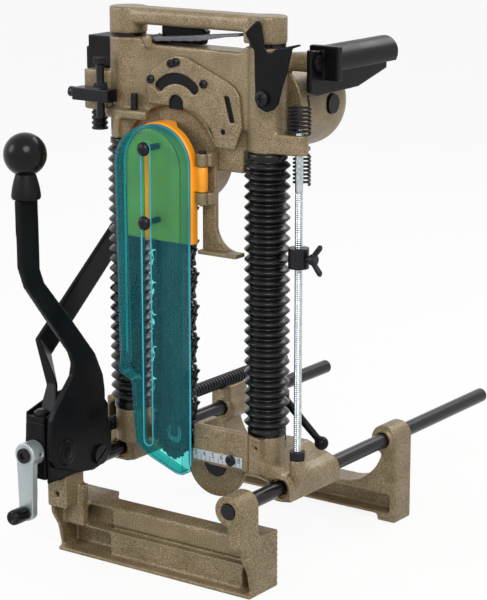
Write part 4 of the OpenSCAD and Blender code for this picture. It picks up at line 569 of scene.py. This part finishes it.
# Chain
chainSet = {
    "x": -15.0, "y": -17.0, "nose": 123.0, "drive": 390.0, "radius": 21.0, "links": 42,
    "plate": 2.5, "plates": (-5.7, -2.85, 0.0, 2.85, 5.7), "fit": 0.98,
    # Outlines of a plate: along the track, away from it
    "cutter": [(-7.3, -3.6), (-6.2, -4.8), (6.0, -4.8), (7.3, -3.6), (7.4, -1.2), (5.6, 0.4), (3.8, 0.2),
               (3.0, 1.6), (2.6, 3.9), (0.2, 3.2), (-1.6, 1.4), (-3.4, 0.6), (-6.0, 0.4), (-7.4, -1.2)],
    "plain": [(-7.3, -3.6), (-6.2, -4.8), (6.0, -4.8), (7.3, -3.6), (7.4, -1.2), (6.2, -0.2), (3.8, -0.2),
              (2.8, -0.9), (1.4, -1.5), (0.0, -1.7), (-1.6, -1.5), (-3.4, -0.6), (-6.0, -0.1), (-7.4, -1.2)]}


def buildChain(s):
    # Each plate is one outline carried sideways and sits on a track of two straights and two half circles:
    # its angle grows along the half circles alone, and its circle's height moves along the straights alone
    straight = s["drive"] - s["nose"]
    bend = math.pi * s["radius"]
    length = 2 * straight + 2 * bend
    links = np.arange(s["links"])
    points, faces, start = [], [], 0
    for index, offset in enumerate(s["plates"]):
        for kind, wanted in ((np.array(s["cutter"]), 0), (np.array(s["plain"]), 1)):
            chosen = links[(links + index) % 2 == wanted] + 0.5 * (index % 2)
            local = chosen[:, None] * length / s["links"] % length + kind[:, 0] * s["fit"]
            local = local % length
            over, under = local - straight, local - 2 * straight - bend
            a = (np.clip(over, 0, bend) + np.clip(under, 0, bend)) / s["radius"]
            centre = s["nose"] + np.clip(local, 0, straight) - np.clip(over - bend, 0, straight)
            plan = arcPoints(s["x"], centre, s["radius"] + kind[:, 1], a)
            half = s["plate"] / 2
            plates = np.concatenate([atDepth(plan, s["y"] + offset + side) for side in (-half, half)], 1)
            points.append(plates.reshape(-1, 3))
            count = len(kind)
            for first in range(start, start + len(points[-1]), 2 * count):
                faces += prismFaces(count, first)
            start += len(points[-1])
    weld(makePiece("cutterChain", np.concatenate(points), faces, chainSteel, "head",
                   ("chain_links",), False), 1e-8)


buildChain(chainSet)
print("springs and chain ready")


# Hinged cover and sliding guard: plates whose height follows the distance to their edges
def roundCorners(corners, radii, steps=8, mostShare=0.48):
    # Each corner is replaced by a curve between two points on its sides, its radius away from it:
    # (1 - t)^2 first + 2 t (1 - t) corner + t^2 last
    before, after = np.roll(corners, 1, 0), np.roll(corners, -1, 0)
    t = np.linspace(0, 1, steps)[:, None]
    path = []
    for corner, a, b, r in zip(corners, before, after, radii):
        da, db = a - corner, b - corner
        la, lb = np.linalg.norm(da), np.linalg.norm(db)
        first = corner + da / la * min(r, la * mostShare)
        last = corner + db / lb * min(r, lb * mostShare)
        path.append((1 - t) ** 2 * first + 2 * t * (1 - t) * corner + t ** 2 * last)
    return np.concatenate(path)


def evenPath(path, count, closed=True):
    # The same path with points at equal steps along it
    loop = np.concatenate([path, path[:1]]) if closed else path
    step = np.linalg.norm(np.diff(loop, axis=0), axis=1)
    length = np.concatenate([[0], np.cumsum(step)])
    want = np.linspace(0, length[-1], count, endpoint=not closed)
    return np.stack([np.interp(want, length, loop[:, k]) for k in range(2)], -1)


def distanceTo(points, path, closed=True):
    # Shortest distance from each point to the pieces of a path
    a, b = path, np.roll(path, -1, 0)
    if not closed:
        a, b = a[:-1], b[:-1]
    flat = points.reshape(-1, 1, 2)
    ab = (b - a)[None]
    t = np.clip(((flat - a[None]) * ab).sum(-1) / np.maximum((ab ** 2).sum(-1), 1e-12), 0, 1)
    near = a[None] + t[..., None] * ab
    return np.sqrt(((flat - near) ** 2).sum(-1)).min(1).reshape(points.shape[:-1])


def bump(distance, centre, width):
    # A smooth ridge of height 1 across a band
    return np.clip(1 - ((distance - centre) / width) ** 2, 0, None) ** 0.5


def quarterRound(edge, radius):
    # How far a fillet lies under the plate at a distance from its edge: r - square root of (r^2 - (r - d)^2)
    return radius - np.sqrt(radius ** 2 - (radius - np.minimum(edge, radius)) ** 2)


def inwards(outer, inner):
    # Directions of length 1 from one path to the other
    towards = inner - outer
    return towards / np.maximum(np.linalg.norm(towards, axis=1, keepdims=True), 1e-9)


guardSet = {
    "x": -26.8, "r": 39.0, "archZ": 386.0, "front": -45.4, "rear": -27.3, "wall": 2.2, "fillet": 4.5,
    "slotX": -25.8, "slotHalf": 3.5, "slotLow": 121.0, "slotHigh": 404.0,
    "steps": [(-39.0, 196.0, 6), (-37.0, 182.0, 5), (-21.7, 176.0, 5), (-19.5, 144.5, 3), (-16.6, 114.5, 4),
              (-5.2, 105.0, 8), (31.8, 91.5, 2), (39.0, 91.0, 2)],  # from the middle line, height, corner
    "edgeRidges": [(0.9, 5.6, 1.6), (0.6, 9.6, 1.3)],  # height, distance from the edge, half width
    "slotRidges": [(0.9, 2.2, 2.0), (-0.5, 6.0, 1.5)],
    "around": 420, "across": 46, "wallRows": 10, "skinShare": 0.9,
    "rimInset": 1.2, "rimBead": 1.0, "rimEnds": (97.0, 198.0), "rimPoints": 260,
    "slotInset": 1.9, "slotBead": 0.7, "slotPoints": 320, "beadRing": 8}


def shellRows(outer, inner, s, ridges):
    # Rows of points up the side wall, round a quarter round, over the plate, which is ruled between two loops
    # with as many points, and back along an inner skin one wall deeper
    t = np.linspace(0, 1, s["across"])[:, None, None]
    plan = outer[None] * (1 - t) + inner[None] * t
    edge = distanceTo(plan, outer)
    drop = quarterRound(edge, s["fillet"])
    within = outer + inwards(outer, inner) * s["wall"]
    insidePlan = np.where((edge < s["wall"])[..., None], within[None], plan)
    depth = np.linspace(s["rear"], s["front"] + s["fillet"], s["wallRows"])[:, None]
    outside = atDepth(plan, s["front"] + drop - ridges(plan, edge))
    inside = atDepth(insidePlan, s["front"] + s["wall"] + drop * s["skinShare"])
    return np.concatenate([atDepth(outer, depth), outside, inside[::-1], atDepth(within, depth[::-1])])


def buildGuard(s):
    # The outer loop is an arch on a stepped lower end and starts under the slot; the inner loop is the slot
    arch = arcPoints(s["x"], s["archZ"], s["r"], np.linspace(0, math.pi, 60))
    steps = np.array(s["steps"])
    outline = np.concatenate([arch, roundCorners(steps[:, :2] + (s["x"], 0), steps[:, 2])])
    fromSlot = np.abs(outline[:, 0] - s["slotX"]) + np.where(outline[:, 1] > s["archZ"] / 2, s["archZ"], 0)
    outer = evenPath(np.roll(outline, -int(np.argmin(fromSlot)), 0), s["around"])
    quarter = np.linspace(math.pi * 1.5, math.pi, 20)
    ends = (s["slotLow"], s["slotHigh"], s["slotHigh"], s["slotLow"])
    slot = np.concatenate([arcPoints(s["slotX"], z, s["slotHalf"], quarter - k * math.pi / 2)
                           for k, z in enumerate(ends)])
    inner = evenPath(slot[::-1], s["around"])  # round the same way as the outer loop

    def ridges(plan, edge):
        slotEdge = distanceTo(plan, slot)
        lift = sum(height * bump(edge, at, half) for height, at, half in s["edgeRidges"])
        return lift + sum(height * bump(slotEdge, at, half) for height, at, half in s["slotRidges"])

    rows = shellRows(outer, inner, s, ridges)
    faces = gridFaces(rows.shape[0], rows.shape[1], True, True)
    weld(makePiece("tealSlidingGuard", rows, faces, tealPlastic, "guard",
                   ("sliding_guard",)), 2e-6)


def buildGuardBeads(s):
    # Round beads on the moulding's edges that carry a painted highlight and glow: along the rear edge of its
    # wall and beside the slot
    r = s["r"] - s["rimInset"]
    arch = arcPoints(s["x"], s["archZ"], r, np.linspace(0, math.pi, 60))
    rim = np.concatenate([[(s["x"] + r, s["rimEnds"][0])], arch, [(s["x"] - r, s["rimEnds"][1])]])
    half = s["slotHalf"] + s["slotInset"]
    turn = np.linspace(0, math.pi, 24)
    top = arcPoints(s["slotX"], s["slotHigh"], half, turn)
    low = arcPoints(s["slotX"], s["slotLow"], half, turn + math.pi)
    loop = np.concatenate([top, low, top[:1]])
    points, faces, start = [], [], 0
    for path, count, y, radius in ((rim, s["rimPoints"], s["rear"] - s["rimBead"], s["rimBead"]),
                                   (loop, s["slotPoints"], s["front"] - s["slotBead"], s["slotBead"])):
        tube, tubeFaces = wireTube(atDepth(evenPath(path, count, False), y), radius, s["beadRing"], start)
        points.append(tube)
        faces += tubeFaces
        start += len(tube)
    # The beads' bright teal and faint glow are a painted highlight
    weld(makePiece("tealGuardBeads", np.concatenate(points), faces, tealEdgePaintedHighlight, "guard"), 1e-8)


buildGuard(guardSet)
buildGuardBeads(guardSet)


# Painted shade: black sheets just inside the openings of the gear cover, standing in for the shade of the
# gear room behind them
shadeSheetSet = {
    "front": -12.5, "back": -12.15,
    "dial": {"x": -13.0, "z": 438.0, "r": 29.0, "half": 5.8, "from": 38, "to": 142},
    "discs": [(-15.0, 443.0, 9.2, -5.3), (41.0, 421.4, 3.2, -4.0)],  # x, z, radius, lowest point
    "slant": [(39.0, 456.0), (49.0, 456.0), (56.0, 429.0), (46.0, 429.0)]}


def buildPaintedShadeSheets(s):
    # Outlines: a band between two arcs about the dial's centre, discs cut off below and a four-sided plate
    d = s["dial"]
    a = np.radians(np.linspace(d["from"], d["to"], 30))
    band = np.concatenate([arcPoints(d["x"], d["z"], d["r"] + d["half"], a),
                           arcPoints(d["x"], d["z"], d["r"] - d["half"], a[::-1])])
    outlines = [band, np.array(s["slant"])]
    turn = np.linspace(0, 2 * np.pi, 28, endpoint=False)
    for x, z, r, low in s["discs"]:
        outlines.append(np.maximum(arcPoints(x, z, r, turn), (-np.inf, z + low)))
    points, faces, start = [], [], 0
    for outline in outlines:
        points += [atDepth(outline, y) for y in (s["front"], s["back"])]
        faces += prismFaces(len(outline), start)
        start += 2 * len(outline)
    # The sheets are painted shade: black where the gear room is dark
    weld(makePiece("paintedShadeGearRoomSheets", np.concatenate(points), faces, satinPlastic, "head",
                   (), False))


buildPaintedShadeSheets(shadeSheetSet)


coverSet = {
    "x": -26.8, "r": 40.2, "archZ": 386.0, "front": -27.0, "rear": -7.0, "wall": 2.2, "fillet": 3.0,
    "low": 314.0, "easeStart": 6.0, "easeLength": 13.0, "easeDepth": 11.0,
    "across": 30, "sideRows": 24, "archRows": 90, "wallRows": 8, "mostHoleSides": 400}


def buildCover(s):
    # An arch on two straight sides, ruled to its middle line, with a quarter round to the side wall and an
    # inner skin one wall deeper
    arch = arcPoints(s["x"], s["archZ"], s["r"], np.linspace(math.pi, 0, s["archRows"]))
    climb = np.linspace(s["low"], s["archZ"], s["sideRows"], endpoint=False)
    up = np.stack([np.full(len(climb), s["x"] - s["r"]), climb], -1)
    down = np.stack([np.full(len(climb), s["x"] + s["r"]), climb[::-1]], -1)
    outer = np.concatenate([up, arch, down])
    middle = np.stack([np.full(len(outer), s["x"]), np.minimum(outer[:, 1], s["archZ"])], -1)
    t = np.linspace(0, 1, s["across"])[:, None, None]
    plan = outer[None] * (1 - t) + middle[None] * t
    front = atDepth(plan, s["front"] + quarterRound(distanceTo(plan, outer, False), s["fillet"]))
    within = outer + inwards(outer, middle) * s["wall"]
    back = atDepth(within[None] * (1 - t) + middle[None] * t, s["front"] + s["wall"])
    # The rear edge eases forward on the right, where the chain passes as the cover swings: 3 t^2 - 2 t^3
    ease = np.clip((outer[:, 0] - s["x"] - s["easeStart"]) / s["easeLength"], 0, 1)
    rear = s["rear"] - s["easeDepth"] * (3 * ease ** 2 - 2 * ease ** 3)
    share = np.linspace(0, 1, s["wallRows"])[:, None]
    depth = rear[None] * (1 - share) + (s["front"] + s["fillet"]) * share
    depthIn = rear[None] * (1 - share) + (s["front"] + s["wall"]) * share
    rows = np.concatenate([atDepth(outer, depth), front, back[::-1], atDepth(within, depthIn[::-1])])
    faces = gridFaces(rows.shape[0], rows.shape[1], True, False)
    piece = makePiece("orangeChainCover", rows, faces, orangePlastic, "cover",
                      ("chain_cover",))
    weld(piece, 2e-6)
    # The two lower ends of the shell are closed
    work = bmesh.new()
    work.from_mesh(piece.data)
    bmesh.ops.holes_fill(work, edges=[e for e in work.edges if e.is_boundary], sides=s["mostHoleSides"])
    bmesh.ops.recalc_face_normals(work, faces=work.faces)
    work.to_mesh(piece.data)
    work.free()


buildCover(coverSet)


# Hinge of the cover, and the knobs that the guard slides on
hingeSet = {
    "x": 21.0, "y": -20.0, "low": 364.5, "high": 388.0, "radius": 5.0, "chamfer": 0.6, "pin": 2.6,
    "web": [(11.2, -22.2), (18.0, -23.6), (21.0, -22.9), (18.0, -18.4), (11.2, -19.2)]}
guardKnobSet = {
    "x": -25.8, "y": -48.4, "heights": (404.0, 334.0),
    "profile": [(0.0, 5.2), (2.6, 5.0), (4.8, 4.2), (6.2, 2.8), (6.8, 1.2), (6.8, 0.2), (6.2, -0.2),
                (3.0, -0.2), (3.0, -21.0), (0.0, -21.0)]}


def buildHinge(s):
    # A barrel round the pin, chamfered at both ends, and a web from it to the cover
    tall, end = s["high"] - s["low"], s["radius"] - s["chamfer"]
    barrel = [(s["pin"], 0), (end, 0), (s["radius"], s["chamfer"]), (s["radius"], tall - s["chamfer"]),
              (end, tall), (s["pin"], tall), (s["pin"], 0)]
    turnedPiece("orangeHingeBarrel", barrel, (s["x"], s["y"], s["low"]), orangePlastic, "cover")
    web = [(x, y, z) for z in (s["low"], s["high"]) for x, y in s["web"]]
    weld(makePiece("orangeHingeWeb", web, prismFaces(len(s["web"])), orangePlastic, "cover",
                   (), False))


buildHinge(hingeSet)
for index, height in enumerate(guardKnobSet["heights"]):
    turnedPiece(f"blackGuardKnob{index}", guardKnobSet["profile"],
                (guardKnobSet["x"], guardKnobSet["y"], height), blackOxide, "cover", (), True)
print("cover and guard ready")


# Printed scale
scaleSet = {
    "left": 14.5, "right": 68.5, "margin": 0.6, "low": 105.0, "face": -25.88,
    "start": 12.0, "step": 5.05, "ticks": 12, "first": 3,
    "barHalf": 0.24, "barRise": 0.3, "longBar": 5.4, "shortBar": 3.2,
    "digit": 7.2, "digitRise": 4.3, "digitShift": 3.6}


def buildScale(s):
    # Bars up from the lower edge, longer at each whole centimetre, with its number above and to the right
    ticks = s["start"] + s["step"] * np.arange(s["ticks"])
    whole = np.arange(s["ticks"]) % 2 == 0
    shown = (ticks > s["left"] + s["margin"]) & (ticks < s["right"] - s["margin"])
    across = np.array([-s["barHalf"], s["barHalf"], s["barHalf"], -s["barHalf"]])
    height = np.where(whole, s["longBar"], s["shortBar"])[shown]
    x = ticks[shown][:, None] + across
    z = s["low"] + s["barRise"] + np.array([0, 0, 1, 1]) * height[:, None]
    bars = bpy.data.meshes.new("bars")
    bars.from_pydata((atDepth(np.stack([x, z], -1), s["face"]).reshape(-1, 3) * mm).tolist(), [],
                     np.arange(x.size).reshape(-1, 4).tolist())
    work = bmesh.new()
    work.from_mesh(bars)
    for index, x0 in enumerate(ticks[whole]):
        curve = bpy.data.curves.new("numberCurve", "FONT")
        curve.body = str(s["first"] + index)
        curve.size = s["digit"] * mm
        curve.align_x = "CENTER"
        holder = bpy.data.objects.new("numberCurve", curve)
        bpy.context.scene.collection.objects.link(holder)
        bpy.context.view_layer.update()
        number = bpy.data.meshes.new_from_object(holder.evaluated_get(bpy.context.evaluated_depsgraph_get()))
        place = Vector((x0 + s["digitShift"], s["face"], s["low"] + s["digitRise"])) * mm
        number.transform(Matrix.Translation(place) @ Matrix.Rotation(math.pi / 2, 4, "X"))
        work.from_mesh(number)
        bpy.data.objects.remove(holder)
    mesh = bpy.data.meshes.new("scaleMarks")
    work.to_mesh(mesh)
    work.free()
    piece = bpy.data.objects.new("scaleMarks", mesh)
    bpy.context.scene.collection.objects.link(piece)
    finishPiece(piece, printInk, "base", (), False)


buildScale(scaleSet)


# Finishes of the solids that stay: each has one slot, and its mesh isn't touched
solidFinishes = {
    blackRod: ("guide_rods", "hinge_pin"),
    blackOxide: ("carrier_trunnions", "fulcrum_bolt", "foot_bolt", "vise_screw", "crank_bolt", "scale_screw",
                 "depth_rod_nut", "stop_collar", "lock_stud", "cover_screws", "thumb_screw", "wheel_axle"),
    blackPlastic: ("release_ball", "brush_caps"),
    foldedRubber: ("handle_gasket",),
    groundSteel: ("half_nut", "columns", "guide_sleeves", "idler_gear", "output_shaft", "nose_wheel"),
    bronze: ("rod_bushes",),
    printedAluminium: ("scale_plate",),
    copperWinding: ("stator", "armature"),
    barSteel: ("guide_bar",)}
for material, names in solidFinishes.items():
    for name in names:
        slot = nodes[name].material_slots[0]
        slot.link = "OBJECT"
        slot.material = material
print("finishes assigned")
